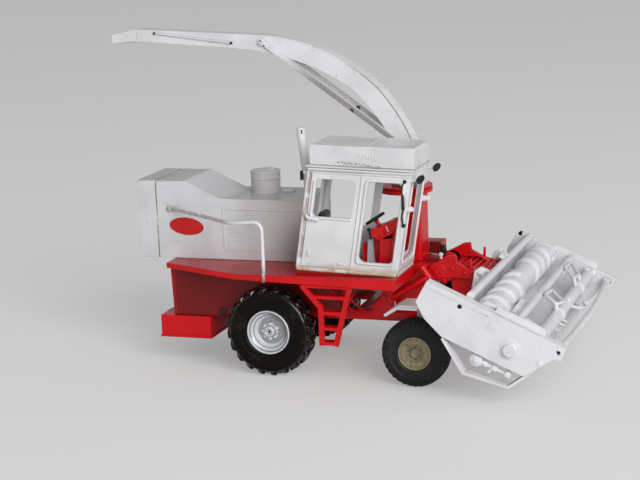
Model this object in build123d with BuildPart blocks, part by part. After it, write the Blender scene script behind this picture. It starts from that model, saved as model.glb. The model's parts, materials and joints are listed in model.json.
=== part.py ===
"""Self-propelled forage harvester, a 1:87 scale model in white and red.

Millimetres. +X is the way it drives, +Y its left, +Z up. The origin is on the ground under
the middle of the overall length and width. Every x below is counted from the drive axle, and
DRIVE_X, worked out from the two ends, places that axle. The header has its own slanted frame:
u runs forward along the top edge of its side panels, v is square to that edge.
"""
import os
from math import cos, hypot, radians, sin, tan

from build123d import *

os.makedirs("parts", exist_ok=True)

# ---- driving dimensions -----------------------------------------------------------------
RUN = 0.04               # radial clearance of a running fit
SEAM = 0.1               # open seam between a fixed panel and its frame

WHEELBASE = 27.1
DRIVE_R, DRIVE_W, DRIVE_RIM, DRIVE_Y = 8.05, 4.4, 4.0, 13.2    # drive tyre and its middle
STEER_R, STEER_W, STEER_RIM, STEER_Y = 5.95, 3.8, 2.95, 15.0   # steered tyre and its middle
AXLE_R = 0.6             # stub that a wheel turns on
BEAM_R = 1.2             # drive axle's tube
STEER_BEAM = 0.95        # half the steered axle's square section

RAIL_Y, RAIL_W, RAIL_H = 7.0, 1.6, 1.65    # chassis rails
RAIL_Z = DRIVE_R + BEAM_R                  # underside of the rails, on the drive axle
RAIL_TOP = RAIL_Z + RAIL_H

DECK_T, WHEEL_ROOM = 1.0, 1.9              # deck plate, and the room over the drive tyres
DECK_UNDER = 2 * DRIVE_R + WHEEL_ROOM
DECK_Z = DECK_UNDER + DECK_T
DECK_Y, DECK_REAR_Y = 17.4, 10.6           # half width at the cab and at the rear
DECK_REAR, DECK_KINK = -20.9, -5.1
DECK_FRONT = WHEELBASE - 2.8
APRON, APRON_T = 1.0, 0.8                  # drop and thickness of the deck's edge in front

BODY_Y, BODY_FRONT = 10.0, 12.0            # casing under the deck
BODY_LOW = 9.2                             # its underside behind the drive axle
BOX_REAR, BOX_FRONT, BOX_Y, BOX_LOW = -22.6, -12.8, 10.6, 5.1

RING_R, RING_T = 4.75, 0.75                # turntable
RING_Z = DECK_Z + 12.15

CAB_LEN, CAB_W, CAB_H = 18.4, 10.3, 18.3
CAB_LEAN = 2.4                             # how far its top stands ahead of its foot
CAB_TILT = 2.2                             # its nose-down angle, about its floor's front edge
CAB_X = DECK_FRONT - 0.2 - CAB_LEN         # rear foot
CAB_FRONT = CAB_X + CAB_LEN
CAB_TOP = DECK_Z + CAB_H
CAB_LEFT = -(RING_R + 0.25)                # its left wall clears the turntable
CAB_RIGHT = CAB_LEFT - CAB_W
WALL, FLOOR_T = 0.6, 0.5
ROOF_H, GUTTER = 3.9, 0.3                  # roof box and the lip round its foot
FLOOR_TOP = DECK_Z + FLOOR_T

HOOD_Y, HOOD_REAR, HOOD_SEAM = 6.6, -27.6, -23.9
HOOD_FRONT = CAB_X - 0.4
HOOD_TOP, HOOD_LOW = DECK_Z + 14.4, DECK_Z + 11.2              # high rear and low front part
HOOD_KNEE, HOOD_TOE = -18.2, -11.4         # where the top slopes down

CHOP_FRONT, CHOP_LEN, CHOP_Y = WHEELBASE + 0.2, 6.9, 4.5
CHOP_REAR, CHOP_TOP = CHOP_FRONT - CHOP_LEN, DECK_Z
DUCT_X, DUCT_L, DUCT_W = WHEELBASE - 3.9, 3.6, 5.4             # upright duct beside the cab
SWIVEL_X = DUCT_X - 1.5                    # spout's upright axis
SWIVEL_GAP = 0.1
SPOUT_W, SPOUT_REACH = 3.4, 54.9           # spout's width, and its reach from the swivel
FLANGE_T = 0.4
TAIL = SWIVEL_X - SPOUT_REACH              # rear end of the spout's flap

PIVOT_X, PIVOT_Z, PIN_R = CHOP_FRONT + 1.3, DECK_UNDER, 0.55   # header lift hinge
ARM_Y, ARM_T = CHOP_Y + 0.9, 1.0           # middle and thickness of a feeder arm

HEADER_X, HEADER_Z = PIVOT_X + 9.5, PIVOT_Z + 0.4              # header frame's origin
HEADER_DIP = 24.0                          # nose-down angle
HEADER_Y = 25.5                            # half width over the side panels
PANEL_R, PANEL_L = 2.2, 1.2                # panel thickness, right (holds the drive) and left
PANEL_LEN, PANEL_DEEP = 18.6, 7.6
SHEET = 0.5
WALL_U = 0.6                               # back face of the trough's rear wall
AUGER_R, DRUM_R = 2.6, 2.1
TROUGH_R = AUGER_R + 1.2                   # trough's bend, round the auger
AUGER_U, AUGER_V = WALL_U + TROUGH_R, -1.8


# ---- frames and helpers -----------------------------------------------------------------
DIP_C, DIP_S = cos(radians(HEADER_DIP)), sin(radians(HEADER_DIP))


def from_header(u, v):
    """Header frame (u, v) as (x from the drive axle, z)."""
    return (HEADER_X + u * DIP_C + v * DIP_S, HEADER_Z - u * DIP_S + v * DIP_C)


DRIVE_X = -(from_header(PANEL_LEN, -0.2)[0] + TAIL) / 2


def side(y=0.0):
    """Upright lengthwise plane at y, seen from the right: local x is x, local y is z."""
    return Plane(origin=(DRIVE_X, y, 0), x_dir=(1, 0, 0), z_dir=(0, -1, 0))


def level(z=0.0):
    """Level plane at height z: local x is x, local y is y."""
    return Plane(origin=(DRIVE_X, 0, z), x_dir=(1, 0, 0), z_dir=(0, 0, 1))


def across(x=0.0):
    """Upright crosswise plane at x: local x is y, local y is z."""
    return Plane(origin=(DRIVE_X + x, 0, 0), x_dir=(0, 1, 0), z_dir=(1, 0, 0))


def slant(y=0.0):
    """The header's slanted plane at y: local x is u, local y is v."""
    return Plane(origin=(DRIVE_X + HEADER_X, y, HEADER_Z), x_dir=(DIP_C, 0, -DIP_S),
                 z_dir=(0, -1, 0))


def save(piece, name):
    piece.label = name
    export_step(piece, f"parts/{name}.step")


def lean(x, z):
    """x of a point on the cab that would be at x if the cab stood upright."""
    return x + CAB_LEAN * (z - DECK_Z) / (CAB_TOP - DECK_Z)


# ---- chassis ----------------------------------------------------------------------------
rail_front, rail_rear = WHEELBASE + 1.2, -10.45
with BuildPart() as chassis_frame:
    with BuildSketch(level(RAIL_Z)):
        for y in (-RAIL_Y, RAIL_Y):
            with Locations(((rail_front + rail_rear) / 2, y)):
                Rectangle(rail_front - rail_rear, RAIL_W)
        # cross members: behind the drive axle, under the chopper's rear and at the front
        for x in (-7.5, CHOP_REAR - 5.9, rail_front - RAIL_W / 2):
            with Locations((x, 0)):
                Rectangle(RAIL_W, 2 * RAIL_Y)
    extrude(amount=RAIL_H)
    # pedestals that stand on the steered axle
    with BuildSketch(level(STEER_R + STEER_BEAM)):
        for y in (-RAIL_Y, RAIL_Y):
            with Locations((WHEELBASE, y)):
                Rectangle(2.2, RAIL_W)
    extrude(amount=RAIL_Z - STEER_R - STEER_BEAM)
save(chassis_frame.part, "chassis_frame")

drive_hub = DRIVE_W / 2 - 0.9      # outward end of a drive wheel's blind bore, from its middle
DIFF_R, DIFF_W = BEAM_R + 0.7, 3.2
with BuildPart() as drive_axle:
    inner = DRIVE_Y - DRIVE_W / 2 - 0.2
    axle_line = Plane(origin=(DRIVE_X, 0, DRIVE_R), x_dir=(1, 0, 0), z_dir=(0, 1, 0))
    with BuildSketch(axle_line):
        Circle(BEAM_R)
    extrude(amount=inner, both=True)
    with BuildSketch(axle_line):
        Circle(AXLE_R)
    extrude(amount=DRIVE_Y + drive_hub - 0.1, both=True)
    # saddles under the rails
    with BuildSketch(level(DRIVE_R)):
        for y in (-RAIL_Y, RAIL_Y):
            with Locations((0, y)):
                Rectangle(2 * BEAM_R, RAIL_W)
    extrude(amount=BEAM_R)
    # differential
    with BuildSketch(axle_line):
        Circle(DIFF_R)
    extrude(amount=DIFF_W / 2, both=True)
    with BuildSketch(level(RAIL_Z)):
        Rectangle(2 * DIFF_R, 2 * DIFF_W)
    extrude(amount=DIFF_R, mode=Mode.SUBTRACT)
save(drive_axle.part, "drive_axle")

steer_hub = STEER_W / 2 - 0.8
KINGPIN_R, KINGPIN_H = 0.8, 2.6
with BuildPart() as steer_axle:
    reach = STEER_Y - STEER_W / 2 - 0.3
    axle_line = Plane(origin=(DRIVE_X + WHEELBASE, 0, STEER_R), x_dir=(1, 0, 0), z_dir=(0, 1, 0))
    with BuildSketch(axle_line):
        Rectangle(2 * STEER_BEAM, 2 * STEER_BEAM)
    extrude(amount=reach - KINGPIN_R - 0.6, both=True)
    with BuildSketch(axle_line):
        Circle(AXLE_R)
    extrude(amount=STEER_Y + steer_hub - 0.1, both=True)
    # knuckles on their kingpins
    with BuildSketch(level(STEER_R - KINGPIN_H / 2)):
        for y in (-(reach - KINGPIN_R), reach - KINGPIN_R):
            with Locations((WHEELBASE, y)):
                Circle(KINGPIN_R)
    extrude(amount=KINGPIN_H)
save(steer_axle.part, "steer_axle")

with BuildPart() as rear_body:
    with BuildSketch(side()):
        Polygon((DECK_REAR + 0.5, DECK_UNDER), (DECK_REAR + 0.8, BODY_LOW),
                (rail_rear - 1.05, BODY_LOW), (rail_rear - 0.55, RAIL_TOP), (BODY_FRONT, RAIL_TOP),
                (BODY_FRONT, DECK_UNDER), align=None)
    extrude(amount=BODY_Y, both=True)
save(rear_body.part, "rear_body")

with BuildPart() as rear_box:
    with BuildSketch(side()):
        with Locations(((BOX_REAR + BOX_FRONT) / 2, (BOX_LOW + BODY_LOW) / 2)):
            Rectangle(BOX_FRONT - BOX_REAR, BODY_LOW - BOX_LOW)
    extrude(amount=BOX_Y, both=True)
save(rear_box.part, "rear_box")

HITCH_R, HITCH_T, HITCH_OUT, HITCH_W = 0.5, 1.0, 2.0, 2.6
HITCH_Z = BOX_LOW + 1.2
with BuildPart() as tow_hitch:
    with BuildSketch(level(HITCH_Z)):
        with Locations((BOX_REAR - HITCH_OUT / 2, 0)):
            Rectangle(HITCH_OUT, HITCH_W)
        with Locations((BOX_REAR - HITCH_OUT, 0)):
            Circle(HITCH_W / 2)
        with Locations((BOX_REAR + HITCH_W / 2, 0)):
            Rectangle(HITCH_W, HITCH_W, mode=Mode.SUBTRACT)
        with Locations((BOX_REAR - HITCH_OUT, 0)):
            Circle(HITCH_R, mode=Mode.SUBTRACT)
    extrude(amount=HITCH_T)
save(tow_hitch.part, "tow_hitch")

CUT_GAP = 0.1                              # clearance round the chopper where it stands in the deck
DUCT_CUT = CHOP_Y + CUT_GAP
cut_len = DECK_FRONT - CHOP_REAR + 2 * CUT_GAP
with BuildPart() as deck:
    with BuildSketch(level(DECK_UNDER)):
        Polygon((DECK_REAR, -DECK_REAR_Y), (DECK_KINK, -DECK_Y), (DECK_FRONT, -DECK_Y),
                (DECK_FRONT, DECK_Y), (DECK_KINK, DECK_Y), (DECK_REAR, DECK_REAR_Y), align=None)
        with Locations((CHOP_REAR - CUT_GAP + cut_len / 2, 0)):
            Rectangle(cut_len, 2 * DUCT_CUT, mode=Mode.SUBTRACT)
    extrude(amount=DECK_T)
    # aprons along both long edges, deeper towards the front
    for y in (-DECK_Y + APRON_T / 2, DECK_Y - APRON_T / 2):
        with BuildSketch(side(y)):
            Polygon((DECK_KINK, DECK_UNDER), (DECK_FRONT, DECK_UNDER - APRON),
                    (DECK_FRONT, DECK_UNDER), align=None)
        extrude(amount=APRON_T / 2, both=True)
    # front aprons
    with BuildSketch(across(DECK_FRONT - APRON_T)):
        for hand in (-1, 1):
            with Locations((hand * (DECK_Y + DUCT_CUT) / 2, DECK_UNDER - APRON / 2)):
                Rectangle(DECK_Y - DUCT_CUT, APRON)
    extrude(amount=APRON_T)
save(deck.part, "deck")

# ladder: a rear stile that kinks in clear of the wheel, a slanted front stile, four deep steps
STILE_W, STILE_T, STEP_DEEP, STEP_T = 0.9, 0.8, 2.0, 0.6
STEP_AT = (0, 0.34, 0.68, 1)      # of the way down from the top step to the bottom one
LADDER_TOP, LADDER_LOW = DECK_UNDER - 0.6, 6.8
step_top, step_low = LADDER_TOP - 2.0, LADDER_LOW + 0.4
ladder_x = DRIVE_R + 2.65
stile_rear = [(ladder_x - 3.3, LADDER_TOP), (ladder_x, LADDER_TOP - 3.8), (ladder_x, LADDER_LOW)]
stile_front = [(ladder_x + 5.4, LADDER_TOP), (ladder_x + 2.5, LADDER_LOW)]


def stile_x(stile, z):
    """x of a stile, given as points from its top down, at height z."""
    for (x0, z0), (x1, z1) in zip(stile, stile[1:]):
        if z >= z1:
            return x1 + (x0 - x1) * (z - z1) / (z0 - z1)


with BuildPart() as ladder:
    with BuildSketch(side(-DECK_Y + STILE_T / 2)):
        for stile in (stile_rear, stile_front):
            with BuildLine():
                Polyline(*stile)
            trace(line_width=STILE_W)
        with Locations(((stile_rear[0][0] + stile_front[0][0]) / 2, LADDER_TOP)):
            Rectangle(stile_front[0][0] - stile_rear[0][0] + 0.4, 0.8)
    extrude(amount=STILE_T / 2, both=True)
    for share in STEP_AT:
        step_z = step_top - share * (step_top - step_low)
        x0, x1 = stile_x(stile_rear, step_z), stile_x(stile_front, step_z)
        with BuildSketch(level(step_z - STEP_T / 2)):
            with Locations(((x0 + x1) / 2, -DECK_Y + STEP_DEEP / 2)):
                Rectangle(x1 - x0, STEP_DEEP)
        extrude(amount=STEP_T)
    # cut at the top to the lower edge of the deck's apron
    with BuildSketch(side(-DECK_Y + STILE_T / 2)):
        Polygon((0, DECK_UNDER - APRON * (0 - DECK_KINK) / (DECK_FRONT - DECK_KINK)),
                (DECK_FRONT, DECK_UNDER - APRON), (DECK_FRONT, DECK_Z), (0, DECK_Z), align=None)
    extrude(amount=STILE_T, both=True, mode=Mode.SUBTRACT)
save(ladder.part, "ladder")

# ---- hood and what stands on it ---------------------------------------------------------
with BuildPart() as hood:
    with BuildSketch(side()):
        Polygon((HOOD_SEAM, DECK_Z), (HOOD_SEAM, HOOD_TOP), (HOOD_KNEE, HOOD_TOP),
                (HOOD_TOE, HOOD_LOW), (HOOD_FRONT, HOOD_LOW), (HOOD_FRONT, DECK_Z), align=None)
    extrude(amount=HOOD_Y, both=True)
    fillet(hood.edges().filter_by(GeomType.LINE).group_by(Axis.Z)[-1].filter_by(Axis.X), 0.4)
save(hood.part, "hood")

with BuildPart() as radiator_housing:
    with BuildSketch(side()):
        with Locations(((HOOD_REAR + HOOD_SEAM) / 2, (DECK_Z + HOOD_TOP) / 2)):
            Rectangle(HOOD_SEAM - HOOD_REAR, HOOD_TOP - DECK_Z)
    extrude(amount=HOOD_Y, both=True)
    fillet(radiator_housing.edges().group_by(Axis.Z)[-1].filter_by(Axis.X), 0.4)
save(radiator_housing.part, "radiator_housing")

AIR_X, AIR_Y, AIR_R, AIR_H, LID_H = HOOD_FRONT - 10.9, 1.9, 2.8, 4.2, 0.6
with BuildPart() as air_cleaner:
    with BuildSketch(level(HOOD_LOW)):
        with Locations((AIR_X, AIR_Y)):
            Circle(AIR_R)
    extrude(amount=AIR_H - LID_H)
    with BuildSketch(level(HOOD_LOW + AIR_H - LID_H)):
        with Locations((AIR_X, AIR_Y)):
            Circle(AIR_R - 0.35)
    extrude(amount=LID_H)
    with BuildSketch(level(HOOD_LOW + AIR_H)):
        with Locations((AIR_X, AIR_Y)):
            Circle(0.5)
    extrude(amount=0.7)
save(air_cleaner.part, "air_cleaner")

PIPE_X, PIPE_Y, PIPE_R, PIPE_BORE = HOOD_FRONT - 0.83, -2.5, 0.79, 0.52
PIPE_LEN, PIPE_LEAN, BORE_DEEP = 12.6, 6.0, 2.2            # it leans back from its foot
pipe_run = (-sin(radians(PIPE_LEAN)), 0, cos(radians(PIPE_LEAN)))
with BuildPart() as exhaust_pipe:
    with BuildSketch(Plane(origin=(DRIVE_X + PIPE_X, PIPE_Y, HOOD_LOW), z_dir=pipe_run)) as foot:
        Circle(PIPE_R)
    extrude(amount=PIPE_LEN)
    extrude(foot.sketch, amount=-0.5)
    # cut level on the hood
    with BuildSketch(level(HOOD_LOW)):
        with Locations((PIPE_X, PIPE_Y)):
            Rectangle(4 * PIPE_R, 4 * PIPE_R)
    extrude(amount=-1.0, mode=Mode.SUBTRACT)
    with BuildSketch(foot.workplanes[0].offset(PIPE_LEN - BORE_DEEP)):
        Circle(PIPE_BORE)
    extrude(amount=BORE_DEEP, mode=Mode.SUBTRACT)
save(exhaust_pipe.part, "exhaust_pipe")

ROD_R, ROD_END = 0.3, 0.4                   # handrail's rod, and x of its foot on the deck
rod_z, rod_y = DECK_Z + 9.3, -DECK_Y + 0.5
rail_path = [(-21.2, -HOOD_Y, rod_z), (-5.6, rod_y + 0.3, rod_z - 0.4), (ROD_END, rod_y, rod_z),
             (ROD_END, rod_y, DECK_Z)]
rail_path = [(DRIVE_X + x, y, z) for x, y, z in rail_path]
with BuildPart() as handrail:
    with BuildLine() as rail_line:
        FilletPolyline(*rail_path, radius=1.0)
    with BuildSketch(Plane(origin=rail_line.line @ 1, z_dir=rail_line.line % 1)):
        Circle(ROD_R)
    sweep()
    # cut square on the hood's side
    with BuildSketch(side(-HOOD_Y)):
        with Locations((-18, rod_z)):
            Rectangle(12, 8)
    extrude(amount=-3, mode=Mode.SUBTRACT)
save(handrail.part, "handrail")

# ---- cab --------------------------------------------------------------------------------
def cab_outline(x0, x1, z0, z1):
    """Corners of a leaning panel, from its upright x limits and its heights."""
    return [(lean(x0, z0), z0), (lean(x1, z0), z0), (lean(x1, z1), z1), (lean(x0, z1), z1)]


def nose_down(piece):
    """A cab piece that was drawn level, turned nose-down with the whole cab."""
    return piece.rotate(Axis((DRIVE_X + CAB_FRONT, 0, FLOOR_TOP), (0, 1, 0)), CAB_TILT)


DOOR_W = 9.15
door_span = (CAB_X + 0.8, CAB_X + 0.8 + DOOR_W)
door_z = (FLOOR_TOP + 0.4, CAB_TOP - 0.7)
door_window = cab_outline(door_span[0] + 1.0, door_span[1] - 1.0, CAB_TOP - 8.65, CAB_TOP - 2)
front_window = cab_outline(door_span[1] + 1.1, CAB_FRONT - 1.2, FLOOR_TOP + 1.7, CAB_TOP - 2)
rear_window_left = cab_outline(door_span[0] + 0.7, door_span[1] - 0.3, FLOOR_TOP + 6, CAB_TOP - 2)

with BuildPart() as cab_floor:
    with BuildSketch(side(CAB_RIGHT)):
        # a wedge that fills the room under the tilted walls
        floor_rise = CAB_LEN * tan(radians(CAB_TILT))
        Polygon((CAB_X, DECK_Z), (CAB_FRONT, DECK_Z), (CAB_FRONT, FLOOR_TOP),
                (CAB_X, FLOOR_TOP + floor_rise), align=None)
    extrude(amount=CAB_RIGHT - CAB_LEFT)
save(cab_floor.part, "cab_floor")

with BuildPart() as cab_right_wall:
    with BuildSketch(side(CAB_RIGHT)) as right_outline:
        Polygon(*cab_outline(CAB_X, CAB_FRONT, FLOOR_TOP, CAB_TOP), align=None)
    extrude(amount=-WALL)
    with BuildSketch(side(CAB_RIGHT)):
        Polygon(*cab_outline(*door_span, *door_z), align=None)
    extrude(amount=-WALL, mode=Mode.SUBTRACT)
    with BuildSketch(side(CAB_RIGHT)) as right_light:
        Polygon(*front_window, align=None)
        fillet(right_light.vertices(), 1.1)
    extrude(amount=-WALL, mode=Mode.SUBTRACT)
save(nose_down(cab_right_wall.part), "cab_right_wall")

with BuildPart() as cab_door:
    with BuildSketch(side(CAB_RIGHT)) as door_face:
        Polygon(*cab_outline(door_span[0] + SEAM, door_span[1] - SEAM, door_z[0] + SEAM,
                             door_z[1] - SEAM), align=None)
    extrude(amount=-WALL)
    with BuildSketch(side(CAB_RIGHT)) as door_light:
        Polygon(*door_window, align=None)
        fillet(door_light.vertices(), 0.7)
    extrude(amount=-WALL, mode=Mode.SUBTRACT)
save(nose_down(cab_door.part), "cab_door")

with BuildPart() as cab_left_wall:
    with BuildSketch(side(CAB_LEFT)):
        Polygon(*cab_outline(CAB_X, CAB_FRONT, FLOOR_TOP, CAB_TOP), align=None)
    extrude(amount=WALL)
    for window in (front_window, rear_window_left):
        with BuildSketch(side(CAB_LEFT)) as left_light:
            Polygon(*window, align=None)
            fillet(left_light.vertices(), 1.1)
        extrude(amount=WALL, mode=Mode.SUBTRACT)
save(nose_down(cab_left_wall.part), "cab_left_wall")

CAB_MID = (CAB_RIGHT + CAB_LEFT) / 2
CAB_IN = CAB_LEFT - CAB_RIGHT - 2 * WALL       # clear width between the side walls


def cab_crosswall(x0, light):
    """A leaning wall between the side walls, with an opening (width, low z, high z)."""
    width, z0, z1 = light
    with BuildPart() as wall:
        with BuildSketch(side(CAB_MID)):
            Polygon(*cab_outline(x0, x0 + WALL, FLOOR_TOP, CAB_TOP), align=None)
        extrude(amount=CAB_IN / 2, both=True)
        with BuildSketch(across(x0 - 1)) as opening:
            with Locations((CAB_MID, (z0 + z1) / 2)):
                Rectangle(width, z1 - z0)
            fillet(opening.vertices(), 0.8)
        extrude(amount=CAB_LEAN + 3, mode=Mode.SUBTRACT)
    return wall.part


rear_light, front_light = (FLOOR_TOP + 8, CAB_TOP - 1.7), (FLOOR_TOP + 1.7, CAB_TOP - 1.9)
save(nose_down(cab_crosswall(CAB_X, (CAB_IN - 1.8, *rear_light))), "cab_rear_wall")
save(nose_down(cab_crosswall(CAB_FRONT - WALL, (CAB_IN - 1.0, *front_light))),
     "cab_front_frame")

GUTTER_H, ROOF_SHIFT = 0.4, 0.35            # the roof box stands a little ahead of its gutter
roof_mid = (CAB_X + CAB_FRONT) / 2 + CAB_LEAN
with BuildPart() as cab_roof:
    with BuildSketch(level(CAB_TOP)):
        with Locations((roof_mid, CAB_MID)):
            Rectangle(CAB_LEN + 2 * GUTTER, CAB_W + 2 * GUTTER)
    extrude(amount=GUTTER_H)
    with BuildSketch(level(CAB_TOP + GUTTER_H)):
        with Locations((roof_mid + ROOF_SHIFT, CAB_MID)):
            Rectangle(CAB_LEN, CAB_W)
    extrude(amount=ROOF_H - GUTTER_H)
    fillet(cab_roof.edges().group_by(Axis.Z)[-1], 0.3)
save(nose_down(cab_roof.part), "cab_roof")

SEAT_X, SEAT_W = CAB_X + 2.5, 3.8
with BuildPart() as seat:
    with BuildSketch(side(CAB_MID)):
        with Locations((SEAT_X, FLOOR_TOP)):
            Polygon((0, 0), (3.2, 0), (3.8, 3.7), (3.8, 5.1), (1.2, 5.3), (1.8, 9.1), (0.6, 9.3),
                    (-0.3, 4.7), align=None)
    extrude(amount=SEAT_W / 2, both=True)
save(nose_down(seat.part), "seat")

WHEEL_X, WHEEL_Z, WHEEL_TILT = CAB_FRONT - 5.5, FLOOR_TOP + 8.4, 34.0
WHEEL_RING, RING_W, RING_H = 1.95, 0.45, 0.5      # steering wheel's radius and its rim's section
COLUMN_R, POST_H = 0.35, 6.8
tilt = radians(WHEEL_TILT)
steer_normal = (-sin(tilt), 0, cos(tilt))
with BuildPart() as steering_wheel:
    rim_plane = Plane(origin=(DRIVE_X + WHEEL_X, CAB_MID, WHEEL_Z), x_dir=(0, 1, 0),
                      z_dir=steer_normal)
    with BuildSketch(rim_plane):
        Circle(WHEEL_RING)
        Circle(WHEEL_RING - RING_W, mode=Mode.SUBTRACT)
        Rectangle(2 * WHEEL_RING - RING_W, RING_H)
        Circle(COLUMN_R + 0.2)
    extrude(amount=RING_H / 2, both=True)
save(nose_down(steering_wheel.part), "steering_wheel")

with BuildPart() as steering_column:
    with BuildSketch(rim_plane):
        Circle(COLUMN_R)
    extrude(amount=-1.9)
    with BuildSketch(rim_plane):
        Circle(2 * COLUMN_R)
    extrude(amount=-RING_H / 2, mode=Mode.SUBTRACT)
    with BuildSketch(level(FLOOR_TOP)):
        with Locations((WHEEL_X + 0.5, CAB_MID)):
            Rectangle(1.0, 1.4)
    extrude(amount=POST_H)
save(nose_down(steering_column.part), "steering_column")

CONSOLE_W, PEDAL_W = 5.2, 2.4
with BuildPart() as console:
    with BuildSketch(side(CAB_MID)):
        with Locations((CAB_FRONT - 4.1, FLOOR_TOP)):
            Polygon((0, 0), (2.4, 0), (2.4, 6.1), (0, 5.7), align=None)
        with Locations((CAB_FRONT - 2.2, FLOOR_TOP + 6.9)):
            Circle(1.1)
    extrude(amount=CONSOLE_W / 2, both=True)
save(nose_down(console.part), "console")

with BuildPart() as pedal_plate:
    with BuildSketch(side(CAB_MID)):
        with Locations((CAB_FRONT - 7.5, FLOOR_TOP)):
            Polygon((0, 0), (0.6, 0), (1.6, 3.7), (1.2, 3.7), align=None)
    extrude(amount=PEDAL_W / 2, both=True)
save(nose_down(pedal_plate.part), "pedal_plate")

# lamps on stalks at the front of the cab's top, both in one node
LAMP_Z, STALK_R, STALK_LEN, LAMP_R, LAMP_T = CAB_TOP - 1.3, 0.3, 1.6, 0.8, 0.7
lamp_x = lean(CAB_FRONT, LAMP_Z + 0.2)
with BuildPart() as headlamps:
    for y in (CAB_RIGHT + 0.7, CAB_LEFT - 0.4):
        with BuildSketch(across(lamp_x)):
            with Locations((y, LAMP_Z)):
                Circle(STALK_R)
        extrude(amount=STALK_LEN)
        with BuildSketch(across(lamp_x + STALK_LEN)):
            with Locations((y, LAMP_Z)):
                Circle(LAMP_R)
        extrude(amount=LAMP_T)
    # cut to the cab's leaning front
    with BuildSketch(side(CAB_MID)):
        Polygon(*cab_outline(CAB_X, CAB_FRONT, FLOOR_TOP, CAB_TOP), align=None)
    extrude(amount=CAB_W, both=True, mode=Mode.SUBTRACT)
save(nose_down(headlamps.part), "headlamps")

rear_lamp_x, rear_lamp_z = lean(CAB_X, CAB_TOP - 1.1), CAB_TOP - 1.1
with BuildPart() as rear_lamp:
    with BuildSketch(side(CAB_RIGHT + 0.8)):
        with Locations((rear_lamp_x - 0.55, rear_lamp_z)):
            Rectangle(1.3, 0.5)
        with Locations((rear_lamp_x - 1.2, rear_lamp_z - 0.4)):
            Rectangle(0.6, 1.7)
    extrude(amount=0.4, both=True)
    # cut to the cab's leaning rear
    with BuildSketch(side(CAB_MID)):
        Polygon(*cab_outline(CAB_X, CAB_FRONT, FLOOR_TOP, CAB_TOP), align=None)
    extrude(amount=CAB_W, both=True, mode=Mode.SUBTRACT)
save(nose_down(rear_lamp.part), "rear_lamp")

# wiper: an arm that stands off the front corner, held at both ends
WIPER_W, WIPER_OUT, WIPER_ARM = 0.36, 0.7, 0.35
wiper_z = (CAB_TOP - 9.3, CAB_TOP - 1.5)
with BuildPart() as wiper:
    with BuildSketch(side(CAB_RIGHT + 1.0)):
        Polygon(*cab_outline(CAB_FRONT, CAB_FRONT + WIPER_OUT, *wiper_z), align=None)
        Polygon(*cab_outline(CAB_FRONT, CAB_FRONT + WIPER_ARM, wiper_z[0] + 1, wiper_z[1] - 1),
                align=None, mode=Mode.SUBTRACT)
    extrude(amount=WIPER_W / 2, both=True)
save(nose_down(wiper.part), "wiper")

# ---- chopper, duct and turntable --------------------------------------------------------
LUG_R, LUG_T = 1.3, 1.0
with BuildPart() as chopper_housing:
    with BuildSketch(side()):
        Polygon((CHOP_REAR, RAIL_TOP), (CHOP_FRONT, RAIL_TOP), (CHOP_FRONT, CHOP_TOP - 1.4),
                (CHOP_FRONT - 1.0, CHOP_TOP), (CHOP_REAR, CHOP_TOP), align=None)
    extrude(amount=CHOP_Y, both=True)
    # lugs and the pin that the feeder arms hang on
    for y in (-(CHOP_Y - LUG_T / 2 - 0.1), CHOP_Y - LUG_T / 2 - 0.1):
        with BuildSketch(side(y)):
            with Locations((PIVOT_X, PIVOT_Z)):
                Circle(LUG_R)
            Polygon((CHOP_FRONT - 0.4, PIVOT_Z - 2.4), (PIVOT_X, PIVOT_Z - LUG_R),
                    (PIVOT_X, PIVOT_Z + LUG_R), (CHOP_FRONT - 1.4, CHOP_TOP), align=None)
        extrude(amount=LUG_T / 2, both=True)
    with BuildSketch(side()):
        with Locations((PIVOT_X, PIVOT_Z)):
            Circle(PIN_R)
    extrude(amount=ARM_Y + ARM_T / 2 + 0.4, both=True)
save(chopper_housing.part, "chopper_housing")

with BuildPart() as duct_column:
    with BuildSketch(level(CHOP_TOP)):
        with Locations((DUCT_X, 0)):
            Rectangle(DUCT_L, DUCT_W)
    extrude(amount=RING_Z - CHOP_TOP)
    fillet(duct_column.edges().filter_by(Axis.Z), 0.5)
save(duct_column.part, "duct_column")

with BuildPart() as turntable:
    with BuildSketch(level(RING_Z)):
        with Locations((SWIVEL_X, 0)):
            Circle(RING_R)
    extrude(amount=RING_T)
save(turntable.part, "turntable")

CYL_Y, CYL_R = CHOP_Y + 1.5, 0.65
start, end = (CHOP_FRONT - 1.6, PIVOT_Z - 1.0), (CHOP_FRONT + 0.4, PIVOT_Z - 4.6)
with BuildPart() as lift_cylinders:
    for y in (-CYL_Y, CYL_Y):
        run = (end[0] - start[0], 0, end[1] - start[1])
        with BuildSketch(Plane(origin=(DRIVE_X + start[0], y, start[1]), z_dir=run)):
            Circle(CYL_R)
        extrude(amount=hypot(run[0], run[2]))
        with BuildSketch(side(y)):
            with Locations(start):
                Rectangle(1.6, 1.2)
        extrude(amount=CYL_Y - CHOP_Y if y > 0 else CHOP_Y - CYL_Y)
save(lift_cylinders.part, "lift_cylinders")

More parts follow.
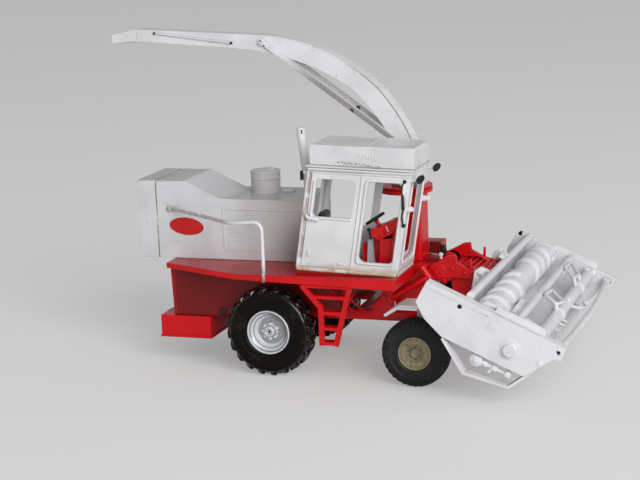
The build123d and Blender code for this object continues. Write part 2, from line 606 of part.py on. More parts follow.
GUARD_Z = 2 * STEER_R + 2.5
GUARD_T, GUARD_W, STAY_W = 0.55, 5.2, 0.6
GUARD_IN = STEER_Y - STEER_W / 2 - 0.9     # inner edge of the guard, clear of the tyre
for name, hand in (("front_guard_right", -1), ("front_guard_left", 1)):
    with BuildPart() as guard:
        with BuildSketch(side(hand * (GUARD_IN + GUARD_W / 2))):
            with BuildLine():
                Polyline((WHEELBASE - 4.9, GUARD_Z - 1.7), (WHEELBASE - 2.2, GUARD_Z),
                         (WHEELBASE + 3.1, GUARD_Z), (WHEELBASE + 5.1, GUARD_Z - 1.4))
            trace(line_width=GUARD_T)
        extrude(amount=GUARD_W / 2, both=True)
        # stay from the chassis rail, up beside the tyre
        rail_side, stay_low = RAIL_Y + RAIL_W / 2, RAIL_TOP - 1.0
        with BuildSketch(across(WHEELBASE - 0.4)):
            with Locations((hand * (rail_side + GUARD_IN + STAY_W) / 2, stay_low + STAY_W / 2)):
                Rectangle(GUARD_IN + STAY_W - rail_side, STAY_W)
            with Locations((hand * (GUARD_IN + STAY_W / 2), (stay_low + GUARD_Z) / 2)):
                Rectangle(STAY_W, GUARD_Z - stay_low)
        extrude(amount=0.8)
    save(guard.part, name)

# ---- wheels -----------------------------------------------------------------------------
def wheel_plane(x, y, radius, hand):
    """Plane through a wheel's axis: local x runs outward along it, local y is the radius."""
    return Plane(origin=(DRIVE_X + x, y, radius), x_dir=(0, hand, 0), z_dir=(hand, 0, 0))


def tyre(x, y, hand, radius, width, rim):
    half, wall = width / 2, radius - rim
    with BuildPart() as piece:
        with BuildSketch(wheel_plane(x, y, radius, hand)):
            Polygon((-half + 0.5, rim), (-half, rim + 0.35 * wall), (-half, radius - 0.8),
                    (-half + 0.7, radius), (half - 0.7, radius), (half, radius - 0.8),
                    (half, rim + 0.35 * wall), (half - 0.5, rim), align=None)
        revolve(axis=Axis((DRIVE_X + x, y, radius), (0, 1, 0)))
    return piece.part


def rim_disc(x, y, hand, radius, width, rim, hub_end, dish):
    """A dished rim with a blind bore on its inward side."""
    half, bore, seat_r = width / 2 - 0.4, AXLE_R + RUN, rim - 0.02
    with BuildPart() as piece:
        with BuildSketch(wheel_plane(x, y, radius, hand)):
            Polygon((-half, seat_r), (half, seat_r), (half, seat_r - 0.3), (dish, seat_r - 0.8),
                    (dish, 1.5), (hub_end + 0.5, 1.1), (hub_end + 0.5, 0), (hub_end, 0),
                    (hub_end, bore), (-half, bore), (-half, 1.3), (dish - 0.9, 1.3),
                    (dish - 0.9, seat_r - 0.8), (-half, seat_r - 0.4), align=None)
        revolve(axis=Axis((DRIVE_X + x, y, radius), (0, 1, 0)))
    return piece.part


for word, hand in (("right", -1), ("left", 1)):
    y = hand * DRIVE_Y
    save(tyre(0, y, hand, DRIVE_R, DRIVE_W, DRIVE_RIM), f"drive_tyre_{word}")
    save(rim_disc(0, y, hand, DRIVE_R, DRIVE_W, DRIVE_RIM, drive_hub, 0.5), f"drive_rim_{word}")
    y = hand * STEER_Y
    save(tyre(WHEELBASE, y, hand, STEER_R, STEER_W, STEER_RIM), f"steer_tyre_{word}")
    save(rim_disc(WHEELBASE, y, hand, STEER_R, STEER_W, STEER_RIM, steer_hub, 0.6),
         f"steer_rim_{word}")

# ---- spout ------------------------------------------------------------------------------
SPOUT_FOOT = RING_Z + RING_T + SWIVEL_GAP
with BuildPart() as spout_flange:
    with BuildSketch(level(SPOUT_FOOT)):
        with Locations((SWIVEL_X, 0)):
            Circle(RING_R)
    extrude(amount=FLANGE_T)
save(spout_flange.part, "spout_flange")


def aloft(y=0.0):
    """Upright lengthwise plane at y, with its origin on the flange, on the swivel's axis."""
    return Plane(origin=(DRIVE_X + SWIVEL_X, y, SPOUT_FOOT + FLANGE_T), x_dir=(1, 0, 0),
                 z_dir=(0, -1, 0))


TIP, LIP = (-49.9, 28.05), (-49.9, 25.85)   # top and bottom of the spout's open end
with BuildPart() as spout:
    with BuildSketch(aloft()):
        with BuildLine():
            Line((-1.8, 0), (3.2, 0))
            Line((3.2, 0), (3.5, 3.6))
            ThreePointArc((3.5, 3.6), (0.9, 10.3), (-4.2, 17.55))
            ThreePointArc((-4.2, 17.55), (-11.9, 23.0), (-26.9, 26.85))
            Line((-26.9, 26.85), TIP)
            Line(TIP, LIP)
            Line(LIP, (-31.4, 24.5))
            ThreePointArc((-31.4, 24.5), (-17.9, 21.75), (-9.25, 17.5))
            ThreePointArc((-9.25, 17.5), (-5.6, 13.65), (-3.0, 10.1))
            Line((-3.0, 10.1), (-1.5, 6.8))
            Line((-1.5, 6.8), (-1.8, 0))
        make_face()
    extrude(amount=SPOUT_W / 2, both=True)
save(spout.part, "spout")

BRACE_T, BRACE_W, BRACE_EYE = 0.5, 0.8, 0.7
brace_ends = ((-25.4, 25.6), (-1.7, 8.4))
with BuildPart() as spout_brace:
    for y in (-(SPOUT_W + BRACE_T) / 2, (SPOUT_W + BRACE_T) / 2):
        with BuildSketch(aloft(y)):
            with BuildLine():
                Line(*brace_ends)
            trace(line_width=BRACE_W)
            with Locations(brace_ends[0]):
                Circle(BRACE_EYE)
        extrude(amount=BRACE_T / 2, both=True)
save(spout_brace.part, "spout_brace")

with BuildPart() as spout_flap:
    with BuildSketch(aloft()):
        Polygon((-SPOUT_REACH, 27.1), TIP, LIP, (-SPOUT_REACH + 0.1, 25.5), align=None)
    extrude(amount=SPOUT_W / 2, both=True)
save(spout_flap.part, "spout_flap")

# ---- feeder and header ------------------------------------------------------------------
arm_front_top, arm_front_low = from_header(WALL_U, -0.6), from_header(WALL_U, -3.0)
BOSS_R = 1.6
with BuildPart() as feeder_arms:
    for y in (-ARM_Y, ARM_Y):
        with BuildSketch(side(y)):
            with Locations((PIVOT_X, PIVOT_Z)):
                Circle(BOSS_R)
            Polygon((PIVOT_X - 0.4, PIVOT_Z + 1.5), (PIVOT_X + 1.2, PIVOT_Z + 2.6), arm_front_top,
                    arm_front_low, (PIVOT_X + 3.6, PIVOT_Z - 1.5), (PIVOT_X, PIVOT_Z - BOSS_R),
                    align=None)
            with Locations((PIVOT_X, PIVOT_Z)):
                Circle(PIN_R + RUN, mode=Mode.SUBTRACT)
        extrude(amount=ARM_T / 2, both=True)
save(feeder_arms.part, "feeder_arms")

throat_top, throat_low = from_header(WALL_U, -0.8), from_header(WALL_U, -5.2)
with BuildPart() as feeder_house:
    with BuildSketch(side()):
        Polygon((PIVOT_X + 2.0, PIVOT_Z + 0.6), throat_top, throat_low,
                (PIVOT_X + 2.6, PIVOT_Z - 5.2), align=None)
    extrude(amount=ARM_Y - ARM_T / 2, both=True)
save(feeder_house.part, "feeder_house")

TROUGH_FRONT = PANEL_LEN - 5.2             # front edge of the trough's floor
trough_low = AUGER_V - TROUGH_R
bend_out, bend_in = TROUGH_R * sin(radians(45)), (TROUGH_R - SHEET) * sin(radians(45))
with BuildPart() as header_trough:
    with BuildSketch(slant()):
        with BuildLine():
            Line((WALL_U, -0.4), (WALL_U, AUGER_V))
            ThreePointArc((WALL_U, AUGER_V), (AUGER_U - bend_out, AUGER_V - bend_out),
                          (AUGER_U, trough_low))
            Line((AUGER_U, trough_low), (TROUGH_FRONT, -PANEL_DEEP))
            Line((TROUGH_FRONT, -PANEL_DEEP), (TROUGH_FRONT, -PANEL_DEEP + SHEET))
            Line((TROUGH_FRONT, -PANEL_DEEP + SHEET), (AUGER_U, trough_low + SHEET))
            ThreePointArc((AUGER_U, trough_low + SHEET), (AUGER_U - bend_in, AUGER_V - bend_in),
                          (WALL_U + SHEET, AUGER_V))
            Line((WALL_U + SHEET, AUGER_V), (WALL_U + SHEET, -0.4))
            Line((WALL_U + SHEET, -0.4), (WALL_U, -0.4))
        make_face()
    extrude(amount=HEADER_Y - PANEL_R, both=True)
save(header_trough.part, "header_trough")

# side panels: (u, v) outline; the right one reaches further back and holds the drive
panel_front = [(PANEL_LEN - 4.4, -PANEL_DEEP), (PANEL_LEN - 1.2, -2.7), (PANEL_LEN - 0.1, -2.5),
               (PANEL_LEN, -0.2)]
right_outline = [(-6.6, 0), (-7.0, -4.1), (-4.6, -6.1), (-0.9, -PANEL_DEEP), *panel_front]
left_outline = [(-1.8, 0.2), (-2.4, -4.0), (-0.9, -PANEL_DEEP), *panel_front]
flange_outline = [(5.5, -0.5), (5.5, 0.75), (PANEL_LEN - 4.4, 0.75), (PANEL_LEN - 4.0, -0.5)]
EYE_U, EYE_V, EYE_R = PANEL_LEN - 1.0, -1.4, 0.35
BOSS_U, BOSS_V, BOSS_R, BOSS_H = 10.36, -4.48, 1.1, 0.65     # bearing boss on each panel's outside
# name: outline, outer face, thickness, and which way the panel and its flange grow from there
panels = {"header_panel_right": (right_outline, -HEADER_Y, -PANEL_R, -HEADER_Y + PANEL_R),
          "header_panel_left": (left_outline, HEADER_Y, PANEL_L, HEADER_Y)}
for name, (outline, outer, grow, flange_y) in panels.items():
    with BuildPart() as panel:
        with BuildSketch(slant(outer)):
            Polygon(*outline, align=None)
            with Locations((EYE_U, EYE_V)):
                Circle(EYE_R, mode=Mode.SUBTRACT)
        extrude(amount=grow)
        # raised flange along the middle of the top edge
        with BuildSketch(slant(flange_y)):
            Polygon(*flange_outline, align=None)
        extrude(amount=SHEET)
        with BuildSketch(slant(outer)):
            with Locations((BOSS_U, BOSS_V)):
                Circle(BOSS_R)
        extrude(amount=BOSS_H if grow < 0 else -BOSS_H)
    save(panel.part, name)


TUBE_SPAN = 2 * HEADER_Y - PANEL_R - PANEL_L       # between the side panels' inner faces
# name: (u, v, radius) of each tube
cross_tubes = {"header_cross_tubes": ((0.7, 0.25, 0.65), (9.4, -0.1, 0.65)),
               "reel_pipe": ((PANEL_LEN - 4.9, -1.4, 1.1),),
               "front_bar": ((EYE_U, EYE_V, 0.6),)}
for name, rows in cross_tubes.items():
    with BuildPart() as tubes:
        with BuildSketch(slant(-HEADER_Y + PANEL_R)):
            for u, v, radius in rows:
                with Locations((u, v)):
                    Circle(radius)
        extrude(amount=-TUBE_SPAN)
    save(tubes.part, name)

# auger: a drum on its shaft, with flights as spaced collars towards both ends
FLIGHT_T, FLIGHT_PITCH, FLIGHTS = 0.9, 5.0, 4
SHAFT_R, DRUM_GAP = 0.5, 0.6
with BuildPart() as auger:
    with BuildSketch(slant(-HEADER_Y + PANEL_R)):
        with Locations((AUGER_U, AUGER_V)):
            Circle(SHAFT_R)
    extrude(amount=-TUBE_SPAN)
    with BuildSketch(slant(-HEADER_Y + PANEL_R + DRUM_GAP)):
        with Locations((AUGER_U, AUGER_V)):
            Circle(DRUM_R)
    extrude(amount=-(TUBE_SPAN - 2 * DRUM_GAP))
    near_end = [2 * DRUM_GAP + FLIGHT_PITCH * i for i in range(FLIGHTS)]
    for pos in near_end + [TUBE_SPAN - FLIGHT_T - p for p in near_end]:
        with BuildSketch(slant(-HEADER_Y + PANEL_R + pos)):
            with Locations((AUGER_U, AUGER_V)):
                Circle(AUGER_R)
        extrude(amount=-FLIGHT_T)
save(auger.part, "auger")

KNIFE_W = 1.2
with BuildPart() as knife_bar:
    with BuildSketch(slant()):
        with Locations((TROUGH_FRONT + KNIFE_W / 2, -PANEL_DEEP + SHEET / 2)):
            Rectangle(KNIFE_W, SHEET)
    extrude(amount=HEADER_Y - PANEL_R, both=True)
save(knife_bar.part, "knife_bar")

SKID_T = 0.45
skid_line = [(-0.6, -PANEL_DEEP - 0.2), (4.8, -PANEL_DEEP - 4.1),
             (PANEL_LEN - 6.0, -PANEL_DEEP - 2.9), (PANEL_LEN - 3.4, -PANEL_DEEP + 1.6)]
with BuildPart() as header_skids:
    for y in (-HEADER_Y + PANEL_R / 2, HEADER_Y - PANEL_L / 2):
        with BuildSketch(slant(y)):
            with BuildLine():
                Polyline(*skid_line)
            trace(line_width=SKID_T)
            Polygon(*left_outline, align=None, mode=Mode.SUBTRACT)
        extrude(amount=PANEL_R / 2 if y < 0 else PANEL_L / 2, both=True)
save(header_skids.part, "header_skids")

# knife drive hung under the right panel: a gearbox and a link to the knife
GEAR_R, GEAR_U, GEAR_W = 1.25, 5.9, 1.6
LINK_LEN, LINK_W, LINK_EYE = 5.7, 0.6, 0.7
gear_v = -PANEL_DEEP - GEAR_R
with BuildPart() as knife_drive:
    with BuildSketch(slant(-HEADER_Y + PANEL_R / 2)):
        with Locations((GEAR_U, gear_v)):
            Circle(GEAR_R)
        with Locations((GEAR_U, gear_v + GEAR_R / 2)):
            Rectangle(1.4, GEAR_R)
        with BuildLine():
            Line((GEAR_U, gear_v), (GEAR_U + LINK_LEN, gear_v))
        trace(line_width=LINK_W)
        with Locations((GEAR_U + LINK_LEN, gear_v)):
            Circle(LINK_EYE)
    extrude(amount=GEAR_W / 2, both=True)
save(knife_drive.part, "knife_drive")

HOOK_OUT, HOOK_T = 1.6, 1.2                # bracket's middle outside the arm's middle
with BuildPart() as header_hitch:
    for y in (-ARM_Y - HOOK_OUT, ARM_Y + HOOK_OUT):
        with BuildSketch(slant(y)):
            Polygon((WALL_U, -0.8), (WALL_U, -4.6), (WALL_U - 2.2, -4.2), (WALL_U - 2.4, -0.4),
                    (WALL_U - 1.4, 0.4), align=None)
        extrude(amount=HOOK_T / 2, both=True)
save(header_hitch.part, "header_hitch")
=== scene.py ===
import json
import math
import bmesh
import bpy
from mathutils import Matrix, Vector

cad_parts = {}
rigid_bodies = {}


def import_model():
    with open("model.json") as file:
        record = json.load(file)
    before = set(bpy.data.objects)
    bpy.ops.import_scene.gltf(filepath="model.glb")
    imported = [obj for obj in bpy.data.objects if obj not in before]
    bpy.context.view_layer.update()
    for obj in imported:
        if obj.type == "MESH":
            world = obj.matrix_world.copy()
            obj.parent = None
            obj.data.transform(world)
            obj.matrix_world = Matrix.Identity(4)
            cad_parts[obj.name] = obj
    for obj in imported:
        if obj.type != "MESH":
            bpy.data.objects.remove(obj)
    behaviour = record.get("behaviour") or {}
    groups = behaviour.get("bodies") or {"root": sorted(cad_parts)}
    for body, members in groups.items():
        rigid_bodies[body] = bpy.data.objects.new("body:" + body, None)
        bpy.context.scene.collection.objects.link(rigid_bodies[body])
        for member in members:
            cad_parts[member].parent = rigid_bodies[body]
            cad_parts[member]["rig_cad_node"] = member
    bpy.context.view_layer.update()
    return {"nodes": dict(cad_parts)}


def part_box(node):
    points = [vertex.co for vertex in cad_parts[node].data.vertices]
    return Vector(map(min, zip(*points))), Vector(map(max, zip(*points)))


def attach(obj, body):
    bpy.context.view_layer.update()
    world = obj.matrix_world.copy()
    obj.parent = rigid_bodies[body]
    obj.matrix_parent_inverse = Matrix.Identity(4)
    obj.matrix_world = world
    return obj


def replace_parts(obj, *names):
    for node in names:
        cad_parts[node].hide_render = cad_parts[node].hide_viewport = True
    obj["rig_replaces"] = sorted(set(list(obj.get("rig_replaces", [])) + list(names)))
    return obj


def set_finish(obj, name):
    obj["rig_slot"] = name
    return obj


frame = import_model()

# Chassis and axles. Two flat rails with cross members rest on a tubular drive axle and on a square
# steered beam. They are cut from styrene strip, glued up and brushed with red enamel, which stays
# bright on the edges; the corners are darkened with painted shade.
MM = 0.001
WELD = 0.001 * MM
rim_low, rim_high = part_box("drive_rim_right")
AXLE_X = (rim_low.x + rim_high.x) / 2


def at(x, y, z):
    """A point in metres, from millimetres ahead of the drive axle, left of the middle and up."""
    return Vector((AXLE_X + x * MM, y * MM, z * MM))


class Wire:
    """One socket in a material's nodes, so that its shader maths reads as plain expressions."""

    def __init__(self, tree, socket=None):
        self.tree = tree
        self.socket = socket

    def node(self, kind, settings=None, sockets=None, out=0):
        """Adds a node. Its settings go in first, then the values or links of its sockets."""
        made = self.tree.nodes.new(kind)
        for key, value in (settings or {}).items():
            setattr(made, key, value)
        for key, value in (sockets or {}).items():
            if isinstance(value, Wire):
                self.tree.links.new(value.socket, made.inputs[key])
            else:
                made.inputs[key].default_value = value
        return Wire(self.tree, made.outputs[out]) if len(made.outputs) else None

    def maths(self, operation, first, second):
        return self.node("ShaderNodeMath", {"operation": operation}, {0: first, 1: second})

    def __add__(self, other):
        return self.maths("ADD", self, other)

    def __mul__(self, other):
        return self.maths("MULTIPLY", self, other)

    def __sub__(self, other):
        return self.maths("SUBTRACT", self, other)

    def __rsub__(self, other):
        return self.maths("SUBTRACT", other, self)

    __radd__ = __add__
    __rmul__ = __mul__

    def bump(self, strength, depth, height):
        """Relief for a shader's Normal, its depth in millimetres."""
        return self.node("ShaderNodeBump", {}, {"Strength": strength, "Distance": depth * MM,
                                                "Height": height}, "Normal")

    def open_air(self, reach):
        """1 on open faces, falling to 0 in corners narrower than the reach, in millimetres."""
        return self.node("ShaderNodeAmbientOcclusion", {"samples": 6}, {"Distance": reach * MM}, "AO")

    def painted(self, sockets):
        """Ends a material with one shader, given its sockets."""
        shader = self.node("ShaderNodeBsdfPrincipled", {}, sockets)
        self.node("ShaderNodeOutputMaterial", {}, {"Surface": shader})

    def step(self, low, high):
        """0 below low and 1 above high, with a smooth rise between them."""
        return self.node("ShaderNodeMapRange", {"interpolation_type": "SMOOTHSTEP"},
                         {"Value": self, "From Min": low, "From Max": high})

    def between(self, low, high, soft):
        """1 from low to high, falling to 0 over the distance soft on either side."""
        return self.step(low - soft, low) * (1.0 - self.step(high, high + soft))

    def blend(self, first, second):
        """The first colour where this is 0, the second where it is 1."""
        return self.node("ShaderNodeMix", {"data_type": "RGBA"}, {0: self, 6: first, 7: second}, 2)

    def noise(self, scale, detail=2.0):
        """Cloudy noise over the place that this holds, scale to the metre."""
        return self.node("ShaderNodeTexNoise", {}, {"Vector": self, "Scale": scale, "Detail": detail})

    def offsets(self, point):
        """How far this place lies ahead of a point and above it, in millimetres."""
        x, _, z = self.millimetres()
        return x - (point.x - AXLE_X) / MM, z - point.z / MM

    def millimetres(self):
        """The place that this holds, in millimetres ahead of the drive axle, left and up."""
        parts = self.tree.nodes.new("ShaderNodeSeparateXYZ")
        self.tree.links.new(self.socket, parts.inputs[0])
        x, y, z = (Wire(self.tree, socket) for socket in parts.outputs)
        return (x - AXLE_X) * (1 / MM), y * (1 / MM), z * (1 / MM)


def blank(name):
    """A material with no nodes yet, and the place on the object as its first wire."""
    finish = bpy.data.materials.new(name)
    finish.use_nodes = True
    finish.node_tree.nodes.clear()
    return finish, Wire(finish.node_tree).node("ShaderNodeTexCoord", out="Object")


def enamel(name, coat, wash_and_shade, gloss, marks=None, relief=0.5, shine=0.3):
    """Brushed enamel: soft lumps and brush drag, thicker and thinner places, and a dark wash with
    painted shade in the corners. marks adds what belongs to one piece only, such as chips."""
    finish, place = blank(name)
    lumps = place.noise(420.0, 3.0)
    drawn = place.node("ShaderNodeMapping", {}, {"Vector": place, "Scale": (1.0, 1.0, 0.3)})
    drag = drawn.noise(1500.0, 2.0)
    thin = place.noise(170.0, 4.0).step(0.42, 0.66)
    # Painted shade with a wash: the more closed-in a corner is, the more its colour turns to the
    # wash_and_shade colour.
    open_air = place.open_air(0.7)
    corner = (1.0 - open_air + lumps * 0.2).step(0.38, 0.95)
    thinner = [part * 0.86 for part in coat[:3]] + [1.0]
    colour = (thin * 0.7).blend(coat, thinner)
    colour = (corner * 0.75).blend(colour, wash_and_shade)
    rough = gloss + thin * 0.07 + corner * 0.25
    if marks:
        colour = marks(place, colour)
    bump = place.bump(relief, 0.09, lumps + drag * 0.22)
    place.painted({"Base Color": colour, "Roughness": rough, "Normal": bump,
                    "Specular IOR Level": shine})
    return finish


red_enamel = enamel("red_enamel", (0.62, 0.004, 0.007, 1.0), (0.11, 0.003, 0.003, 1.0), 0.24)


def copied(source, name):
    """A copy of a piece, with a mesh of its own and none of the marks of what it stands for."""
    bpy.ops.object.select_all(action="DESELECT")
    source.select_set(True)
    bpy.context.view_layer.objects.active = source
    bpy.ops.object.duplicate()
    piece = bpy.context.object
    bpy.ops.object.parent_clear(type="CLEAR_KEEP_TRANSFORM")
    piece.name = name
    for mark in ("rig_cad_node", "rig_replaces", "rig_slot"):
        if mark in piece:
            del piece[mark]
    return piece


def ready(piece, width=0.0, rounds=2, angle=35.0):
    """Leaves edit mode, rounds the sharp edges, evens the shading and sets the place in the mesh."""
    if piece.mode == "EDIT":
        bpy.ops.object.mode_set(mode="OBJECT")
    bpy.ops.object.transform_apply(location=True, rotation=True, scale=True)
    if width:
        edges = piece.modifiers.new("edges", "BEVEL")
        edges.width = width * MM
        edges.segments = rounds
        edges.angle_limit = math.radians(angle)
        edges.use_clamp_overlap = False
        bpy.ops.object.modifier_apply(modifier=edges.name)
    bpy.ops.object.shade_smooth_by_angle(angle=math.radians(angle))
    even = piece.modifiers.new("even", "WEIGHTED_NORMAL")
    even.keep_sharp = True
    bpy.ops.object.modifier_apply(modifier=even.name)
    return piece


def rounded(node, width, rounds=2):
    """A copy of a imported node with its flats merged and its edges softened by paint."""
    piece = copied(frame["nodes"][node], node + "_painted")
    bpy.ops.mesh.customdata_custom_splitnormals_clear()
    bpy.ops.object.mode_set(mode="EDIT")
    bpy.ops.mesh.select_all(action="SELECT")
    bpy.ops.mesh.remove_doubles(threshold=WELD)
    bpy.ops.mesh.dissolve_limited(angle_limit=math.radians(0.6))
    return ready(piece, width, rounds)


def dress(piece, finish, body, slot, *nodes):
    """Paints a finished piece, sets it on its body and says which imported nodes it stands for."""
    piece.data.materials.clear()
    piece.data.materials.append(finish)
    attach(piece, body)
    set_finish(piece, slot)
    if nodes:
        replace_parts(piece, *nodes)
    return piece


def repaint(finish, body, slot, **widths):
    """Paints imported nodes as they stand, each with its edges softened by its own width."""
    for node, width in widths.items():
        dress(rounded(node, width), finish, body, slot, node)


repaint(red_enamel, "chassis", "red_paint", chassis_frame=0.12, drive_axle=0.1, steer_axle=0.12)


def select_all():
    """Selects the whole of a piece open for shaping."""
    bpy.ops.mesh.select_all(action="SELECT")


def traced(name, points, closed=False):
    """A line of edges: a plane drawn together to one corner, then extruded from point to point."""
    bpy.ops.object.select_all(action="DESELECT")
    bpy.ops.mesh.primitive_plane_add(size=MM, location=points[0])
    piece = bpy.context.object
    piece.name = name
    bpy.ops.object.mode_set(mode="EDIT")
    bpy.ops.mesh.select_mode(type="VERT")
    select_all()
    bpy.ops.mesh.merge(type="CENTER")
    line = list(points) + [points[0]] * closed
    for here, there in zip(line, line[1:]):
        bpy.ops.mesh.extrude_vertices_move(TRANSFORM_OT_translate={"value": there - here})
    select_all()
    if closed:
        bpy.ops.mesh.remove_doubles(threshold=WELD)
    return piece


def bend_corners(piece, radius, segments=4):
    """Rounds the inner corners of a traced line."""
    mesh = bmesh.from_edit_mesh(piece.data)
    for corner in mesh.verts:
        corner.select = len(corner.link_edges) > 1
    bmesh.update_edit_mesh(piece.data)
    bpy.ops.mesh.bevel(offset=radius * MM, segments=segments, affect="VERTICES")
    select_all()


def sealed(piece):
    """Merges what lies together in a mesh and turns its faces outward."""
    select_all()
    bpy.ops.mesh.remove_doubles(threshold=WELD)
    bpy.ops.mesh.normals_make_consistent(inside=False)
    return piece


def rod(name, points, radius, bend=0.0, closed=False, sides=3):
    """A wire: a traced line with its corners bent, given its thickness and rounded at its ends."""
    piece = traced(name, points, closed)
    if bend:
        bend_corners(piece, bend)
    bpy.ops.object.mode_set(mode="OBJECT")
    bpy.ops.object.convert(target="CURVE")
    wire = bpy.context.object
    wire.data.bevel_depth = radius * MM
    wire.data.bevel_resolution = sides
    wire.data.use_fill_caps = not closed
    bpy.ops.object.convert(target="MESH")
    wire = bpy.context.object
    bpy.ops.object.mode_set(mode="EDIT")
    sealed(wire)
    return ready(wire, 0.0 if closed else radius * 0.35, 2, 50.0)


# Diagonal stays behind the ladder: four thin etched wires from the deck's underside to the rail,
# crossed in pairs. They are soldered at their ends and painted red with the chassis.
for count, (top, foot) in enumerate((((9.7, -13.4, 17.6), (14.0, -8.2, 10.4)),
                                     ((14.6, -13.4, 17.4), (9.9, -8.2, 10.2)),
                                     ((10.2, -11.6, 17.6), (16.2, -8.2, 10.4)),
                                     ((16.6, -11.6, 17.4), (11.4, -8.2, 9.9)))):
    stay = rod(f"ladder_stay_{count + 1}", [at(*top), at(*foot)], 0.17)
    dress(stay, red_enamel, "chassis", "red_paint")

# Drive wheels. A turned styrene tyre carries raised chevron lugs, each filed from a strip, wrapped
# over the shoulder and glued on, and is painted gloss black. The stepped rim is silver paint with
# a thin dark wash and painted shade in its rings, painted shade down one side of its bowl, and an
# eight-lobed hub with a drilled centre painted dark as the hole's shade.
OUTWARD = Vector((0.0, -1.0, 0.0))
drive_hub = at(0.0, -13.2, 8.05)


def turned(name, centre, axis, profile, steps=64, bend=0.0):
    """A lathe-turned solid: the profile, in distances along the axis and radii, is spun round it."""
    axis = Vector(axis).normalized()
    radial = Vector((0.0, 0.0, 1.0)) if abs(axis.z) < 0.7 else Vector((1.0, 0.0, 0.0))
    radial = (radial - axis * radial.dot(axis)).normalized()
    points = [Vector(centre) + axis * (along * MM) + radial * (radius * MM) for along, radius in profile]
    piece = traced(name, points)
    if bend:
        bend_corners(piece, bend, 2)
    bpy.ops.mesh.spin(steps=steps, angle=math.tau, center=centre, axis=axis)
    return sealed(piece)


def around(count, centre):
    """Repeats a piece open for shaping round a wheel's axis until there are count of it."""
    select_all()
    for _ in range(count - 1):
        bpy.ops.mesh.duplicate()
        bpy.ops.transform.rotate(value=math.tau / count, orient_axis="Y", center_override=centre)


def lugged(lug, hub, count, lag=0.0):
    """Mirrors one shoulder's lug onto the other, turned on by an angle, and rings the tyre with both."""
    select_all()
    bpy.ops.mesh.duplicate()
    bpy.ops.transform.resize(value=(1.0, -1.0, 1.0), center_override=hub)
    if lag:
        bpy.ops.transform.rotate(value=math.radians(lag), orient_axis="Y", center_override=hub)
    select_all()
    bpy.ops.mesh.normals_make_consistent(inside=False)
    around(count, hub)
    return lug


def grow(*steps):
    """Extrudes the selected face by each step, in millimetres, one after the other."""
    for step in steps:
        bpy.ops.mesh.extrude_region_move(TRANSFORM_OT_translate={"value": Vector(step) * MM})


def block(name, centre, size):
    """A cube at its place and size, opened for shaping."""
    bpy.ops.object.select_all(action="DESELECT")
    bpy.ops.mesh.primitive_cube_add(size=MM, location=centre, scale=size)
    piece = bpy.context.object
    piece.name = name
    bpy.ops.object.transform_apply(location=False, rotation=False, scale=True)
    bpy.ops.object.mode_set(mode="EDIT")
    return piece


def pick(piece, way, least=0.9):
    """Selects the faces that look along one of the piece's own axes, such as -y."""
    sign = -1.0 if way[0] == "-" else 1.0
    axis = "xyz".index(way[1])
    bpy.ops.mesh.select_all(action="DESELECT")
    bpy.ops.mesh.select_mode(type="FACE")
    mesh = bmesh.from_edit_mesh(piece.data)
    mesh.normal_update()
    for face in mesh.faces:
        if face.normal[axis] * sign > least:
            face.select_set(True)
    bmesh.update_edit_mesh(piece.data)


def joined(name, *pieces):
    """Glues pieces into one."""
    bpy.ops.object.select_all(action="DESELECT")
    for piece in pieces:
        piece.select_set(True)
    bpy.context.view_layer.objects.active = pieces[0]
    bpy.ops.object.join()
    pieces[0].name = name
    return pieces[0]


def mirrored(source, name):
    """The same piece for the machine's left side: a copy, mirrored across the middle."""
    piece = copied(source, name)
    bpy.ops.mesh.customdata_custom_splitnormals_clear()
    bpy.ops.object.mode_set(mode="EDIT")
    select_all()
    bpy.ops.transform.resize(value=(1.0, -1.0, 1.0), center_override=(0.0, 0.0, 0.0))
    sealed(piece)
    return ready(piece)


carcass = ready(turned("drive_tyre_right_rubber", drive_hub, OUTWARD,
                       [(0.0, 3.97), (-1.7, 3.97), (-1.95, 4.4), (-2.16, 5.2), (-2.2, 6.2), (-2.08, 6.9),
                        (-1.6, 7.5), (0.0, 7.64), (1.6, 7.5), (2.1, 6.95), (2.2, 6.2), (2.17, 5.3),
                        (2.06, 5.22), (2.03, 4.62), (2.12, 4.5), (2.0, 4.22), (1.72, 3.97), (0.0, 3.97)],
                       72, 0.16))
lugs = block("drive_lugs", drive_hub + Vector((0.0, -0.22 * MM, 7.62 * MM)), (0.8, 0.9, 0.84))
pick(lugs, "-y")
grow((-0.5, -0.6, -0.04), (-0.46, -0.52, -0.16))
bpy.ops.transform.resize(value=(0.95, 1.0, 0.86))
grow((-0.2, -0.14, -0.5), (-0.14, -0.05, -0.55), (-0.06, 0.04, -0.3))
ready(lugged(lugs, drive_hub, 20, 9.0), 0.15, 3, 30.0)
drive_tyre = joined("drive_tyre_right_rubber", carcass, lugs)


def square(across, upward):
    """The square of a distance, from its two parts."""
    return across * across + upward * upward


def rubber(name, coat, dust, gloss, spread, worn, shine, tread=None):
    """Black paint on a tyre, with dust on its worn places, and varnish beyond the tread's inner edge."""
    finish, place = blank(name)
    cloud = place.noise(260.0, 4.0)
    speck = place.noise(2600.0, 3.0)
    dusty = (cloud * 0.6 + speck * 0.4).step(spread, spread + 0.16)
    colour = (dusty * worn).blend(coat, dust)
    bump = place.bump(0.4, 0.07, cloud + speck * 0.35)
    varnish = 0.0
    if tread:
        middle, inner = tread
        off_x, off_z = place.offsets(middle)
        beyond = square(off_x, off_z).step(inner ** 2 * 0.97, inner ** 2 * 1.03)
        varnish = beyond * (1.0 - dusty)
    place.painted({"Base Color": colour, "Roughness": gloss + dusty * 0.35, "Normal": bump,
                    "Specular IOR Level": shine, "Coat Weight": varnish, "Coat Roughness": 0.14})
    return finish


TREAD_FOOT = 7.05
gloss_rubber = rubber("gloss_rubber", (0.0045, 0.0038, 0.003, 1.0), (0.04, 0.033, 0.025, 1.0), 0.4, 0.53,
                      0.6, 0.12, (drive_hub, TREAD_FOOT))


